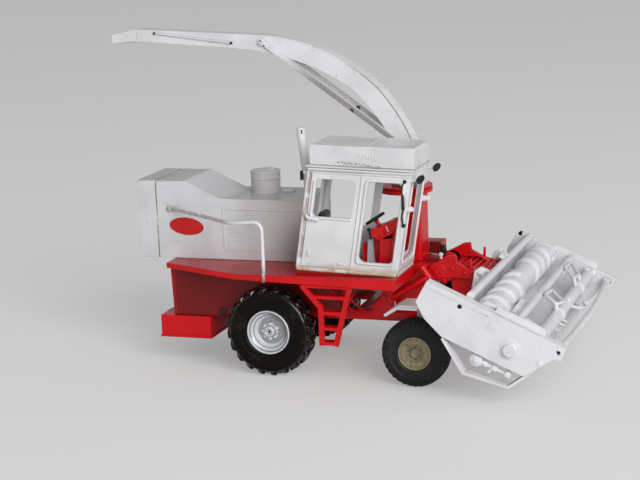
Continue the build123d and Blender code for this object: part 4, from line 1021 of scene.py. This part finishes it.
outline = [(19.3, 25.1), (18.7, 25.2), (18.75, 26.7), (20.4, 27.2), (21.9, 28.0), (22.9, 28.2), (23.3, 27.7),
           (22.7, 24.6), (20.5, 24.5)]
cowl = plate("console_cowl", [at(x, -12.5, z) for x, z in outline], (0.0, 4.4, 0.0), 0.3)
dress(cowl, red_enamel, "chassis", "red_paint")
dial_strip = block("console_strip", at(22.0, -12.8, 26.9), (0.2, 0.14, 1.0))
pick(dial_strip, "+z")
bpy.ops.transform.translate(value=(-0.35 * MM, 0.0, 0.0))
ready(dial_strip, 0.03)
dress(dial_strip, steel, "chassis", "grey_plate")
lever = rod("cab_lever", [at(18.2, -10.1, 23.4), at(17.95, -10.1, 25.0), at(17.7, -10.1, 26.2)], 0.16, 0.3)
grip = ready(turned("cab_lever_grip", at(17.7, -10.1, 26.1), (-0.25, 0.0, 1.0),
                    [(-0.3, 0.0), (-0.26, 0.26), (0.0, 0.36), (0.26, 0.24), (0.32, 0.0)], 16))
dress(joined("cab_lever", lever, grip), black_enamel, "chassis", "black_trim")
pedestal = tapered("cab_pedestal", at(17.0, -9.6, 21.75), (1.0, 2.0, 4.1), "+z", (0.8, 0.8, 1.0), 0.14)
dress(pedestal, red_enamel, "chassis", "red_paint")

# Lamps. Two black bowls on white stalks stand ahead of the roof's front corners, and a smaller
# square lamp hangs behind the rear corner. Turned from rod and glued to bent wire.
LAMP_AXIS = (0.77, -0.47, -0.43)
BOWL = [(-0.36, 0.0), (-0.36, 0.3825), (-0.198, 0.7225), (-0.036, 0.85), (0.12, 0.85),
        (0.14, 0.765), (0.04, 0.731), (0.08, 0.34), (0.1, 0.0)]
for name, middle, foot in (("right", at(28.57, -14.9, 35.97), at(26.7, -14.9, 35.7)),
                           ("left", at(28.86, -5.3, 36.45), at(26.8, -5.2, 36.4))):
    bowl = ready(turned("headlamp_" + name, middle, LAMP_AXIS, BOWL, 32, 0.03))
    dress(bowl, black_enamel, "chassis", "black_trim", "headlamps")
    root = middle - Vector(LAMP_AXIS) * (0.2 * MM)
    stalk = rod("headlamp_stalk_" + name, [root, (middle + foot) / 2, foot], 0.27)
    dress(stalk, white_enamel, "chassis", "white_paint", "headlamps")
rear_low, rear_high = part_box("rear_lamp")
rear_middle = (rear_low + rear_high) / 2
tail_lamp = block("rear_lamp_case", rear_middle + Vector((-0.45, 0.0, -0.2)) * MM, (0.46, 0.8, 1.6))
sink(tail_lamp, "-x", 0.12, (0.08, 0.0, 0.0))
ready(tail_lamp, 0.14)
dress(tail_lamp, black_enamel, "chassis", "black_trim", "rear_lamp")
bracket = tapered("rear_lamp_bracket", rear_middle + Vector((0.3, 0.0, 0.3)) * MM, (1.1, 0.5, 0.7),
                  "-x", (1.0, 0.8, 0.7), 0.16)
dress(bracket, white_enamel, "chassis", "white_paint", "rear_lamp")

# Wiper. A thin black wire held off the cab's front corner by a blob of paint at either end. The
# blade is a second wire soldered along its middle.
wiper_top, wiper_foot = at(25.95, -15.5, 35.59), at(25.5, -15.5, 28.03)
wiper_parts = [rod("wiper_wire", [wiper_top, at(25.6, -15.6, 35.04), at(25.4, -15.6, 34.05),
                                  at(25.6, -15.65, 33.29), at(25.64, -15.65, 30.78),
                                  at(25.32, -15.6, 29.67), wiper_foot], 0.13, 0.25),
               rod("wiper_blade", [at(25.6, -15.7, 33.29), at(25.64, -15.7, 30.78)], 0.24)]
for middle in (wiper_top, wiper_foot):
    blob = turned("wiper_blob", middle + Vector((0.0, 0.2, 0.0)) * MM, OUTWARD,
                  [(-0.3, 0.0), (-0.3, 0.3), (0.15, 0.34), (0.36, 0.22), (0.42, 0.0)], 20)
    wiper_parts.append(ready(blob))
dress(joined("wiper_wire", *wiper_parts), black_enamel, "chassis", "black_trim", "wiper")

# Chopper and duct. The chopper's red housing stands between the front wheels, with the lugs and
# the pin that the feeder hangs from. The duct rises from it to a turned ring that faces the spout.
repaint(red_enamel, "chassis", "red_paint", chopper_housing=0.14, duct_column=0.22, turntable=0.12)
SIDES = ((-1, "right"), (1, "left"))
LIFT_Y = 7.2
for side, hand in SIDES:
    barrel = rod("lift_barrel", [at(26.1, side * LIFT_Y, 19.2), at(27.75, side * LIFT_Y, 16.9)], 0.64,
                 sides=5)
    ram = rod("lift_ram", [at(27.6, side * LIFT_Y, 17.1), at(28.35, side * LIFT_Y, 16.05)], 0.36, sides=4)
    pin = rod("lift_pin", [at(26.45, side * 4.3, 18.6), at(26.45, side * 7.9, 18.6)], 0.36, sides=4)
    eye = ready(turned("lift_eye", at(28.45, side * LIFT_Y, 15.9), (0.0, side, 0.0),
                       [(-0.4, 0.0), (-0.4, 0.55), (0.4, 0.55), (0.4, 0.0)], 24), 0.1)
    cylinder = joined("lift_cylinder_" + hand, barrel, ram, eye, pin)
    dress(cylinder, red_enamel, "chassis", "red_paint", "lift_cylinders")
motor = tapered("chopper_motor", at(25.75, 3.9, 20.1), (2.1, 1.5, 2.6), "+z", (0.85, 0.85, 1.0), 0.16)
fins = block("chopper_fins", at(25.75, 3.9, 19.0), (2.3, 1.7, 0.14))
row(5, (0.0, 0.0, 0.42))
ready(fins, 0.03, 1)
valve_block = block("chopper_valves", at(27.0, -2.2, 19.2), (1.5, 2.2, 1.1))
sink(valve_block, "+z", 0.25, (0.0, 0.0, 0.3))
ready(valve_block, 0.12)
dress(joined("chopper_motor", motor, fins, valve_block), body_enamel, "chassis", "red_paint")
cover = tapered("chopper_cover", at(27.25, 3.9, 19.7), (1.2, 1.4, 2.0), "+z", (0.7, 0.8, 1.0), 0.2, 3)
dress(cover, black_enamel, "chassis", "black_trim")
knob = ready(turned("chopper_knob", at(27.35, 1.6, 18.9), UPWARD,
                    [(-0.2, 0.0), (-0.2, 0.3), (0.2, 0.32), (0.4, 0.46), (0.7, 0.44), (0.85, 0.2),
                     (0.88, 0.0)], 20))
link_wire = rod("chopper_wire", [at(27.3, 1.6, 19.2), at(26.2, 2.2, 19.25), at(24.7, 3.4, 19.2)], 0.13)
dress(joined("chopper_knob", knob, link_wire), white_enamel, "chassis", "white_paint")


for side, hand in SIDES:
    outline = [(17.0, 10.8), (17.0, 12.1), (18.4, 13.2), (19.3, 15.0), (19.5, 17.1), (22.2, 17.1),
               (21.3, 14.9), (21.0, 12.2), (20.7, 10.8)]
    ring = [at(x, side * 8.0, z) for x, z in outline]
    gusset = plate("gusset_" + hand, ring, (0.0, -side * 1.5, 0.0), 0.2)
    rib = rod("gusset_rib", [at(19.5, side * 8.05, 14.3), at(21.0, side * 8.05, 12.2)], 0.2)
    link = rod("gusset_link", [at(20.8, side * 7.8, 13.4), at(27.2, side * 7.4, 17.2)], 0.5, sides=4)
    dress(joined("gusset_" + hand, gusset, rib, link), red_enamel, "chassis", "red_paint")

# Spout. A long curved box of white sheet on a turned flange, with a folded lip along the foot of its
# back, a pair of braces pinned under it and a thin rod that works the end flap.
repaint(red_enamel, "spout", "red_paint", spout_flange=0.08)
flange_low, flange_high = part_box("spout_flange")
SPOUT_X = ((flange_low.x + flange_high.x) / 2 - AXLE_X) / MM
SPOUT_Z = flange_high.z / MM


def aloft(x, y, z):
    """A point on the spout, from the middle of its flange's top face."""
    return at(SPOUT_X + x, y, SPOUT_Z + z)


def arc(first, middle, last, count):
    """Points along the arc through three points, the first one left out."""
    (ax, az), (bx, bz), (cx, cz) = first, middle, last
    d = 2 * (ax * (bz - cz) + bx * (cz - az) + cx * (az - bz))
    a, b, c = ax * ax + az * az, bx * bx + bz * bz, cx * cx + cz * cz
    ox = (a * (bz - cz) + b * (cz - az) + c * (az - bz)) / d
    oz = (a * (cx - bx) + b * (ax - cx) + c * (bx - ax)) / d
    radius = math.hypot(ax - ox, az - oz)
    start = math.atan2(az - oz, ax - ox)
    sweep = math.remainder(math.atan2(cz - oz, cx - ox) - start, math.tau)
    turns = [start + sweep * step / count for step in range(1, count + 1)]
    return [(ox + radius * math.cos(turn), oz + radius * math.sin(turn)) for turn in turns]


def strip(name, line, width, depth):
    """A sheet edging: a line with a parallel line beside it, filled and drawn across the spout."""
    outer = [Vector((x, z)) for x, z in line]
    inner = []
    for count, here in enumerate(outer):
        before, after = outer[max(count - 1, 0)], outer[min(count + 1, len(outer) - 1)]
        run = (after - before).normalized()
        inner.append(here + Vector((run.y, -run.x)) * depth)
    ring = [aloft(point.x, -width / 2, point.y) for point in outer + inner[::-1]]
    return plate(name, ring, (0.0, width, 0.0), 0.04)


BACK_FOOT, BACK_BEND = (3.5, 3.6), (-4.2, 17.55)
back_line = [(3.24, 0.6), BACK_FOOT] + arc(BACK_FOOT, (0.9, 10.3), BACK_BEND, 9)
back_line += arc(BACK_BEND, (-11.9, 23.0), (-26.9, 26.85), 9)


def spout_marks(place, colour):
    """Dark round pits painted as the shade in holes, two where the brace is pinned and one low on
    the side, and a dark joint line with painted shade along the near edge of the back's lip.
    """
    x, y, z = place.millimetres()
    pits = []
    # Painted shade: dark discs that stand for the holes.
    for pit_x, pit_z, size in ((12.74, 45.7, 0.5), (-3.77, 58.2, 0.2), (-3.25, 57.3, 0.2)):
        off_x = x - pit_x
        off_z = z - pit_z
        pits.append(1.0 - square(off_x, off_z).step(size * size * 0.6, size * size))
    fine = place.noise(1500.0, 3.0)
    dust = fine.step(0.66, 0.7) * 0.4
    colour = dust.blend(colour, (0.40, 0.38, 0.36, 1.0))
    # The lip's near edge: a dark joint line with painted shade in its crease.
    bare = (1.0 - y.step(-1.745, -1.73)) * (1.0 - z.step(50.0, 56.0)) * 0.75
    colour = bare.blend(colour, (0.16, 0.13, 0.12, 1.0))
    return sum(pits).blend(colour, (0.05, 0.05, 0.05, 1.0))


spout_enamel = enamel("spout_enamel", (0.75, 0.755, 0.775, 1.0), (0.34, 0.32, 0.31, 1.0), 0.24, spout_marks,
                      0.5)
repaint(spout_enamel, "spout", "white_paint", spout=0.08)
dress(strip("spout_back_lip", back_line, 3.5, -0.22), spout_enamel, "spout", "white_paint")
collar = block("spout_collar", aloft(0.7, 0.0, 0.3), (5.7, 3.9, 0.6))
ready(collar, 0.14)
dress(collar, spout_enamel, "spout", "white_paint")
brace = rounded("spout_brace", 0.08)
pins = []
for side in (-1, 1):
    for x, z in ((-25.4, 25.6), (-1.7, 8.4)):
        pin = turned("brace_pin", aloft(x, side * 2.1, z), (0.0, side, 0.0),
                     [(-0.3, 0.0), (-0.3, 0.42), (0.28, 0.4), (0.36, 0.28), (0.24, 0.12), (0.24, 0.0)], 20)
        pins.append(ready(pin))
dress(joined("spout_brace_painted", brace, *pins), spout_enamel, "spout", "white_paint", "spout_brace")
ROD_ENDS = (-46.19, 27.31), (-31.31, 25.43)
control = rod("flap_rod", [aloft(x, -1.95, z) for x, z in ROD_ENDS], 0.14)
dress(control, spout_enamel, "spout", "white_paint")
pivots = []
for x, z in ROD_ENDS:
    pivot = turned("flap_pivot", aloft(x, -1.86, z), OUTWARD,
                   [(-0.3, 0.0), (-0.3, 0.24), (0.2, 0.22), (0.24, 0.12), (0.24, 0.0)], 20)
    pivots.append(ready(pivot))
dress(joined("flap_pivots", *pivots), black_enamel, "spout", "black_trim")

flap = rounded("spout_flap", 0.08)
teeth = block("flap_teeth", aloft(-50.7, 0.0, 25.95), (0.2, 3.1, 0.3))
pick(teeth, "-z")
grow((0.0, 0.0, -0.16))
bpy.ops.transform.resize(value=(0.3, 1.0, 1.0))
row(9, (-0.38, 0.0, -0.02))
ready(teeth, 0.03, 1)
dress(joined("spout_flap_painted", flap, teeth), spout_enamel, "spout", "white_paint", "spout_flap")

# Feeder. Two red arms reach forward from the chopper's pin, either side of a flat-topped feeder
# house, and carry the header's hitch plates. Sheet and rod, with bolt heads pressed at the joints.
repaint(red_enamel, "header", "red_paint", feeder_house=0.16)
ARM_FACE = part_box("feeder_arms")[1].y / MM
for side, hand in SIDES:
    outline = [(28.2, 19.5), (30.6, 20.8), (31.95, 21.0), (32.15, 19.65), (34.6, 18.4), (38.3, 17.5),
               (37.4, 15.4), (34.4, 16.9), (30.4, 16.95), (28.6, 16.5)]
    ring = [at(x, side * ARM_FACE, z) for x, z in outline]
    arm_parts = [plate("feeder_arm", ring, (0.0, -side * 1.0, 0.0), 0.16)]
    eye = turned("feeder_eye", at(28.6, side * (ARM_FACE - 0.5), 18.0), (0.0, side, 0.0),
                 [(-0.5, 0.58), (-0.5, 1.6), (0.5, 1.58), (0.62, 1.3), (0.62, 0.58), (-0.5, 0.58)], 36)
    arm_parts.append(ready(eye))
    arm_parts.append(rod("feeder_strut", [at(34.4, side * 5.4, 17.9), at(34.55, side * 5.4, 20.2)], 0.24))
    for x, z, size in ((31.3, 18.6, 0.45), (33.5, 17.9, 0.42), (35.4, 17.0, 0.5)):
        bolt = turned("feeder_bolt", at(x, side * (ARM_FACE - 0.05), z), (0.0, side, 0.0),
                      [(-0.2, 0.0), (-0.2, size), (0.2, size * 0.95), (0.3, size * 0.6), (0.3, 0.0)], 6)
        arm_parts.append(ready(bolt, 0.04))
    for x, z, size in ((30.4, 17.0, 0.75), (29.7, 16.4, 0.7)):
        lump = turned("feeder_lump", at(x, side * 5.3, z), (0.0, side, 0.2),
                      [(-0.6, 0.0), (-0.5, size * 0.8), (0.1, size), (0.45, size * 0.7), (0.6, 0.0)], 14)
        arm_parts.append(lumpy(lump, 0.1, int(x)))
    arm = joined("feeder_arm_" + hand, *arm_parts)
    dress(arm, red_enamel, "header", "red_paint", "feeder_arms")
fittings = [rod("feeder_pipe", [at(30.9, side * 4.3, 18.8), at(33.8, side * 4.2, 18.9),
                                at(35.4, side * 4.2, 17.9)], 0.3, 0.6) for side in (-1, 1)]
ribs = block("feeder_ribs", at(31.6, 0.0, 18.62), (0.3, 8.0, 0.3))
row(5, (1.05, 0.0, -0.1))
fittings.append(ready(ribs, 0.08))
dress(joined("feeder_fittings", *fittings), red_enamel, "header", "red_paint")

# Header frame. Two side panels with a lipped top edge carry three pipes and the trough. A round
# boss and two blank plates are pressed into the right panel. White sheet, brushed by hand.
pipe_low, pipe_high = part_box("reel_pipe")
pipe_middle = (pipe_low + pipe_high) / 2
PIPE_U, PIPE_V = 13.7, -1.4
DIP = math.radians(24.0)


def head(u, v, y):
    """A point on the header: forward along its dipping top, square to it, and across."""
    along, off = u - PIPE_U, v - PIPE_V
    return Vector((pipe_middle.x + (along * math.cos(DIP) + off * math.sin(DIP)) * MM, y * MM,
                   pipe_middle.z + (off * math.cos(DIP) - along * math.sin(DIP)) * MM))


AHEAD = head(PIPE_U + 1.0, PIPE_V, 0.0) - head(PIPE_U, PIPE_V, 0.0)
ABOVE = head(PIPE_U, PIPE_V + 1.0, 0.0) - head(PIPE_U, PIPE_V, 0.0)
PANEL_FACE = -25.5


def header_marks(place, colour):
    """Black discs painted as the shade in holes near the right panel's top edge and in the left
    panel's rear corner.
    """
    y = place.millimetres()[1]
    pits = []
    # Painted shade: black discs that stand for the holes.
    for u, v, low, high in ((0.06, -1.48, -26.0, -23.3), (-1.2, -0.1, 24.2, 26.0)):
        off_x, off_z = place.offsets(head(u, v, 0.0))
        round_hole = 1.0 - square(off_x, off_z).step(0.12, 0.18)
        pits.append(round_hole * y.between(low, high, 0.1))
    fine = place.noise(1300.0, 4.0)
    colour = (fine.step(0.68, 0.72) * 0.25).blend(colour, (0.36, 0.31, 0.28, 1.0))
    return sum(pits).blend(colour, (0.012, 0.012, 0.014, 1.0))


header_enamel = enamel("header_enamel", (0.75, 0.755, 0.78, 1.0), (0.30, 0.29, 0.30, 1.0), 0.26,
                       header_marks, 0.6)
repaint(header_enamel, "header", "white_paint", header_panel_right=0.16, header_panel_left=0.16,
        header_trough=0.07, header_cross_tubes=0.06, reel_pipe=0.08, knife_bar=0.08, header_skids=0.08)


def on_panel(name, u, v, profile, steps=40):
    """A turned fitting on the right panel's outer face."""
    return ready(turned(name, head(u, v, PANEL_FACE), OUTWARD, profile, steps, 0.03))


boss = on_panel("panel_boss", 10.36, -4.48,
                [(-0.1, 0.0), (-0.1, 1.85), (0.02, 1.8), (0.08, 1.45), (0.06, 1.2), (0.1, 1.14), (0.5, 1.1),
                 (0.6, 0.98), (0.64, 0.0)])


def dipped(name, u, v, y, size):
    """A block on the header, turned to lie along its dipping top."""
    piece = block(name, head(u, v, y), size)
    bpy.ops.transform.rotate(value=-DIP, orient_axis="Y", center_override=head(u, v, y))
    return piece


plates = []
for u, v, long, proud, high in ((6.35, -2.2, 1.5, 0.16, 1.2), (15.6, -4.25, 1.0, 0.16, 1.1),
                                (-0.55, -0.47, 11.6, 0.2, 0.86), (10.1, 0.38, 8.6, 0.2, 0.14)):
    plates.append(ready(dipped("panel_plate", u, v, PANEL_FACE, (long, proud, high)), 0.06))
rivets = [on_panel("panel_rivet", u, v, [(-0.1, 0.0), (-0.1, 0.2), (0.06, 0.17), (0.09, 0.0)], 12)
          for u, v in ((2.3, -4.0), (-5.6, -0.9), (-3.4, -5.8), (14.0, -2.0))]
dress(joined("panel_fittings", boss, *plates, *rivets), header_enamel, "header", "white_paint")

# Auger. A drum between the side panels carries a left and a right-handed screw that bring the crop to
# the middle. The flights are wide and low, built up in filler, so they look like soft rolls.
ACROSS = (0.0, 1.0, 0.0)
AUGER_U, AUGER_V = 4.4, -1.8
auger_middle = head(AUGER_U, AUGER_V, 0.0)
drum = ready(turned("auger_drum", auger_middle, ACROSS,
                    [(-23.2, 0.0), (-23.2, 1.1), (-22.9, 1.15), (-22.85, 2.05), (-22.4, 2.1), (22.6, 2.1),
                     (23.0, 2.05), (23.05, 1.1), (24.0, 1.1), (24.0, 0.0)], 48, 0.04))
flights = []
for start, finish, turns in ((-22.0, -0.5, 3.84), (23.5, 6.0, 3.57)):
    bpy.ops.object.select_all(action="DESELECT")
    bpy.ops.mesh.primitive_plane_add(size=MM, location=auger_middle)
    flight = bpy.context.object
    flight.name = "auger_flight"
    bpy.ops.object.mode_set(mode="EDIT")
    select_all()
    bpy.ops.transform.resize(value=(0.75, 4.2, 1.0))
    bpy.ops.transform.translate(value=(2.2 * MM, start * MM, 0.0))
    mesh = bmesh.from_edit_mesh(flight.data)
    for corner in mesh.verts:
        corner.select_set(corner.co.x > 2.2 * MM)
    mesh.select_flush(True)
    bmesh.update_edit_mesh(flight.data)
    bpy.ops.transform.resize(value=(1.0, 0.4, 1.0),
                             center_override=auger_middle + Vector((0.0, start, 0.0)) * MM)
    select_all()
    bpy.ops.mesh.delete(type="ONLY_FACE")
    bpy.ops.object.mode_set(mode="OBJECT")
    screw = flight.modifiers.new("screw", "SCREW")
    screw.axis = "Y"
    screw.angle = math.tau * turns
    screw.screw_offset = (finish - start) * MM
    screw.steps = 110
    screw.render_steps = 110
    bpy.ops.object.modifier_apply(modifier=screw.name)
    bpy.ops.object.mode_set(mode="EDIT")
    bpy.ops.mesh.select_mode(type="EDGE")
    bpy.ops.mesh.select_all(action="DESELECT")
    bpy.ops.mesh.select_non_manifold(extend=False, use_wire=False, use_boundary=True, use_multi_face=False,
                                     use_non_contiguous=False, use_verts=False)
    bpy.ops.mesh.edge_face_add()
    bpy.ops.mesh.select_mode(type="VERT")
    sealed(flight)
    flights.append(ready(flight, 0.3, 3, 20.0))
rings = [ready(turned("auger_end", head(AUGER_U, AUGER_V, y), ACROSS,
                      [(-0.25, 0.0), (-0.25, size), (0.2, size), (0.25, 1.6), (0.25, 0.0)], 40, 0.05))
         for y, size in ((-22.9, 2.4), (-22.35, 2.2), (23.6, 2.4))]
nut = turned("auger_nut", head(4.9, 0.25, -22.5), ABOVE,
             [(-0.3, 0.0), (-0.3, 0.8), (0.2, 0.78), (0.34, 0.6), (0.34, 0.0)], 6)
rings.append(ready(nut, 0.06))
dress(joined("auger_drum", drum, *flights, *rings), header_enamel, "header", "white_paint", "auger")

# Header fittings. Slotted brackets of flat bar stand on collars round the reel's pipe, over a curved
# shield, with hooks and tines between. All are bits of brass, soldered and painted over.


def collar_on(u, v, y, radius, half):
    """A soft ring of solder round a pipe that runs across the header."""
    ring = turned("pipe_collar", head(u, v, y), ACROSS,
                  [(-half, radius * 0.7), (-half, radius), (-half * 0.5, radius + 0.22),
                   (half * 0.5, radius + 0.26),
                   (half, radius), (half, radius * 0.7)], 28, 0.05)
    return ready(ring, 0.0, 2, 60.0)


bits = [collar_on(PIPE_U, PIPE_V, y, 1.1, 0.8) for y in (-6.9, 11.9)]
for corners in (((10.37, -6.3), (10.65, -2.3), (13.6, -5.6), (12.9, -8.6)),
                ((9.9, 13.8), (10.2, 18.4), (12.8, 13.4), (12.5, 9.9))):
    bits.append(rod("pipe_bracket", [head(u, 0.6, y) for u, y in corners], 0.34, 0.4, True, 4))
    for u, y in corners[2:]:
        bits.append(rod("bracket_leg", [head(u, 0.6, y), head(13.4, -0.7, y)], 0.36))
bits.append(rod("pipe_hook", [head(13.9, -1.4, 0.1), head(16.0, -1.4, 1.4), head(17.0, -1.4, 3.6),
                              head(16.4, -1.4, 5.7)], 0.26, 0.6))
for u, v, y, size in ((16.5, -1.4, 5.6, 0.55), (16.0, -1.4, 1.4, 0.45), (13.2, -0.7, 22.6, 0.7),
                      (14.3, -0.8, 23.4, 0.8), (0.9, -5.3, 13.0, 0.5), (13.8, -0.6, 0.2, 0.6)):
    lump = turned("solder_lump", head(u, v, y), (0.2, 1.0, 0.3),
                  [(-size, 0.0), (-size * 0.7, size * 0.7), (0.0, size), (size * 0.75, size * 0.65),
                   (size, 0.0)], 14)
    bits.append(lumpy(lump, size * 0.16, int(u * 7)))
for y in (-10.7, -7.0, -4.4, 8.4, 9.4):
    bits.append(rod("pipe_tine", [head(13.9, -2.4, y), head(15.0, -2.9, y + 0.1),
                                  head(15.5, -2.7, y + 0.2)], 0.17, 0.3))
shield = [(13.8, 8.0), (13.9, 19.0), (15.0, 22.9), (16.4, 23.2), (16.8, 19.1), (16.5, 15.0), (16.1, 11.3),
          (15.2, 7.4)]
bits.append(plate("pipe_shield", [head(u, -2.5, y) for u, y in shield], tuple(ABOVE / MM * -0.35), 0.08))
dress(joined("reel_pipe_fittings", *bits), header_enamel, "header", "white_paint")

bow = []
for count in range(25):
    y = -23.6 + count * 2.0
    bow.append(head(18.12 - (0.001 if y < 3.0 else 0.0022) * (y - 3.0) ** 2, -1.4, y))
bar = rod("front_bar_rod", bow, 0.6, sides=5)
bar_ends = []
for y, u in ((-22.6, 17.45), (23.4, 17.2)):
    bar_ends.append(ready(dipped("front_bar_end", u, -1.3, y, (1.3, 1.5, 1.25)), 0.18, 3))
dress(joined("front_bar_rod", bar, *bar_ends), header_enamel, "header", "white_paint", "front_bar")

blocks = []
for name, u, v, y, long, wide, high in (("tube_end_block", 11.0, 0.1, -22.3, 1.9, 1.4, 0.9),
                                        ("tube_end_cap", 12.2, 0.15, -22.6, 0.8, 0.8, 0.8),
                                        ("auger_bearing", 4.1, 0.2, -22.7, 2.0, 0.9, 0.8),
                                        ("rear_tube_clip", -0.1, 0.8, 4.0, 1.2, 4.0, 0.5),
                                        ("front_tube_stub", 9.9, -1.3, 17.7, 1.0, 4.5, 1.6),
                                        ("front_tube_block", 8.0, -1.3, -12.0, 1.9, 6.0, 1.2),
                                        ("auger_wiper_block", 2.9, -3.9, 0.0, 1.0, 3.0, 1.4)):
    part = dipped(name, u, v, y, (long, wide, high))
    pick(part, "+z", 0.6)
    bpy.ops.transform.resize(value=(0.75, 0.8, 1.0))
    blocks.append(ready(part, 0.16, 2))
dress(joined("header_blocks", *blocks), header_enamel, "header", "white_paint")


def ear_marks(place, colour):
    """Grey blotches on the hitch's ears, where solder shows through."""
    blotch = place.noise(900.0, 4.0).step(0.48, 0.62)
    return (blotch * 0.6).blend(colour, (0.40, 0.36, 0.35, 1.0))


ear_enamel = enamel("ear_enamel", (0.78, 0.77, 0.78, 1.0), (0.30, 0.27, 0.26, 1.0), 0.3, ear_marks, 0.9)
ears = []
for side in (-1, 1):
    outline = [(0.6, -0.4), (0.15, 0.44), (-1.62, 0.52), (-2.43, -0.59), (-1.96, -2.28), (-1.66, -3.81),
               (-0.7, -4.6), (0.6, -4.6)]
    ring = [head(u, v, side * 7.6) for u, v in outline]
    ears.append(plate("hitch_ear", ring, (0.0, -side * 1.2, 0.0), 0.3))
    for u, v, size in ((-1.3, -0.5, 0.8), (-0.7, -3.0, 0.7)):
        lump = turned("hitch_lump", head(u, v, side * 7.25), (0.0, side, 0.2),
                      [(-0.5, 0.0), (-0.4, size), (0.3, size * 0.8), (0.42, size * 0.5), (0.46, 0.0)], 14)
        ears.append(lumpy(lump, 0.07, int(10 + u * 5)))
dress(joined("header_hitch_ears", *ears), ear_enamel, "header", "white_paint", "header_hitch")

# Knife and its drive. A gearbox under the right panel swings a cranked link that works the knife,
# whose triangular teeth stand along the trough's lip. The link's ends are blobs of solder.
teeth = dipped("knife_teeth", 14.7, -8.1, -22.6, (1.2, 0.8, 0.18))
pick(teeth, "+x", 0.6)
bpy.ops.transform.resize(value=(1.0, 0.15, 0.5))
row(45, (0.0, 1.0, 0.0))
ready(teeth)
dress(teeth, header_enamel, "header", "white_paint")

GEAR_U, GEAR_V, GEAR_Y = 5.9, -8.85, -24.4
gear = turned("knife_gearbox", head(GEAR_U, GEAR_V, GEAR_Y), OUTWARD,
              [(-0.8, 0.0), (-0.8, 0.95), (-0.3, 1.25), (0.3, 1.2), (0.55, 0.85), (0.6, 0.5),
               (0.8, 0.4), (0.8, 0.0)],
              28, 0.08)
lumpy(gear, 0.05, 3, 60.0)
shaft = rod("knife_shaft", [head(GEAR_U, GEAR_V, GEAR_Y), head(GEAR_U + 5.7, GEAR_V, GEAR_Y)],
            0.36, sides=4)
drive = [gear, shaft]
for along, size in ((1.6, 0.58), (3.3, 0.62), (5.7, 0.74)):
    collar = turned("knife_collar", head(GEAR_U + along, GEAR_V, GEAR_Y), AHEAD,
                    [(-0.55, 0.0), (-0.55, size * 0.8), (-0.2, size), (0.25, size * 0.95),
                     (0.6, size * 0.6), (0.65, 0.0)],
                    18, 0.05)
    drive.append(lumpy(collar, 0.05, int(along), 60.0))
drive.append(rod("knife_lug", [head(GEAR_U + 3.0, GEAR_V + 0.2, GEAR_Y - 0.1),
                               head(GEAR_U + 2.6, GEAR_V - 1.1, GEAR_Y - 0.2)], 0.28))
dress(joined("knife_gearbox", *drive), header_enamel, "header", "white_paint", "knife_drive")

# Stage. A plain pale ground that keeps the shadow, one broad soft lamp ahead and to the right, and an
# even sky, pale round the sides and duller overhead.
bpy.ops.object.select_all(action="DESELECT")
bpy.ops.mesh.primitive_plane_add(size=4.0, location=(0.0, 0.0, 0.0))
floor = bpy.context.object
floor.name = "floor"
ground, place = blank("ground")
shade = place.noise(9.0, 3.0).blend((0.80, 0.80, 0.80, 1.0), (0.76, 0.76, 0.76, 1.0))
matt = place.node("ShaderNodeBsdfPrincipled", {}, {"Base Color": shade, "Roughness": 0.9,
                                                   "Specular IOR Level": 0.1})
seen = place.node("ShaderNodeLightPath", out="Is Camera Ray")
glow = place.node("ShaderNodeEmission", {}, {"Color": (1.0, 1.0, 1.0, 1.0), "Strength": 1.0})
paler = place.node("ShaderNodeMixShader", {}, {0: seen * 0.28, 1: matt, 2: glow})
place.node("ShaderNodeOutputMaterial", {}, {"Surface": paler})
floor.data.materials.append(ground)

LAMP_WAY = Vector((0.62, -0.66, 0.42)).normalized()
lamp_data = bpy.data.lights.new("soft_lamp", "AREA")
lamp_data.shape = "SQUARE"
lamp_data.size = 0.5
lamp_data.energy = 5.2
soft_lamp = bpy.data.objects.new("soft_lamp", lamp_data)
bpy.context.scene.collection.objects.link(soft_lamp)
soft_lamp.location = LAMP_WAY * 0.8
soft_lamp.rotation_mode = "QUATERNION"
soft_lamp.rotation_quaternion = LAMP_WAY.to_track_quat("Z", "Y")

sky = bpy.data.worlds.new("sky")
bpy.context.scene.world = sky
sky.use_nodes = True
sky.node_tree.nodes.clear()
air = Wire(sky.node_tree)
way = air.node("ShaderNodeTexCoord", out="Generated")
height = air.node("ShaderNodeSeparateXYZ", {}, {0: way}, 2)
seen = air.node("ShaderNodeLightPath", out="Is Camera Ray")
level = 0.42 - height.step(0.2, 0.9) * 0.14
light = air.node("ShaderNodeBackground", {}, {"Color": (1.0, 1.0, 1.0, 1.0), "Strength": level})
plain = air.node("ShaderNodeBackground", {}, {"Color": (1.0, 1.0, 1.0, 1.0), "Strength": 1.0})
either = air.node("ShaderNodeMixShader", {}, {0: seen, 1: light, 2: plain})
air.node("ShaderNodeOutputWorld", {}, {"Surface": either})

# Camera. It stands ahead and to the right, above the cab's roof, and leans slightly.
YAW, PITCH, ROLL = math.radians(19.14), math.radians(11.87), math.radians(-2.31)
back = Vector((math.sin(YAW) * math.cos(PITCH), -math.cos(YAW) * math.cos(PITCH), math.sin(PITCH)))
level_right = Vector((math.cos(YAW), math.sin(YAW), 0.0))
level_up = back.cross(level_right)
lens_right = level_right * math.cos(ROLL) + level_up * math.sin(ROLL)
lens_up = level_up * math.cos(ROLL) - level_right * math.sin(ROLL)
camera_data = bpy.data.cameras.new("camera")
camera_data.lens = 95.71
camera_data.sensor_width = 36.0
camera_data.clip_start = 0.01
camera = bpy.data.objects.new("camera", camera_data)
bpy.context.scene.collection.objects.link(camera)
stance = Matrix((lens_right, lens_up, back)).transposed().to_4x4()
stance.translation = at(104.555, -286.42, 85.45)
camera.matrix_world = stance
bpy.context.scene.camera = camera
bpy.context.scene.view_settings.view_transform = "Standard"
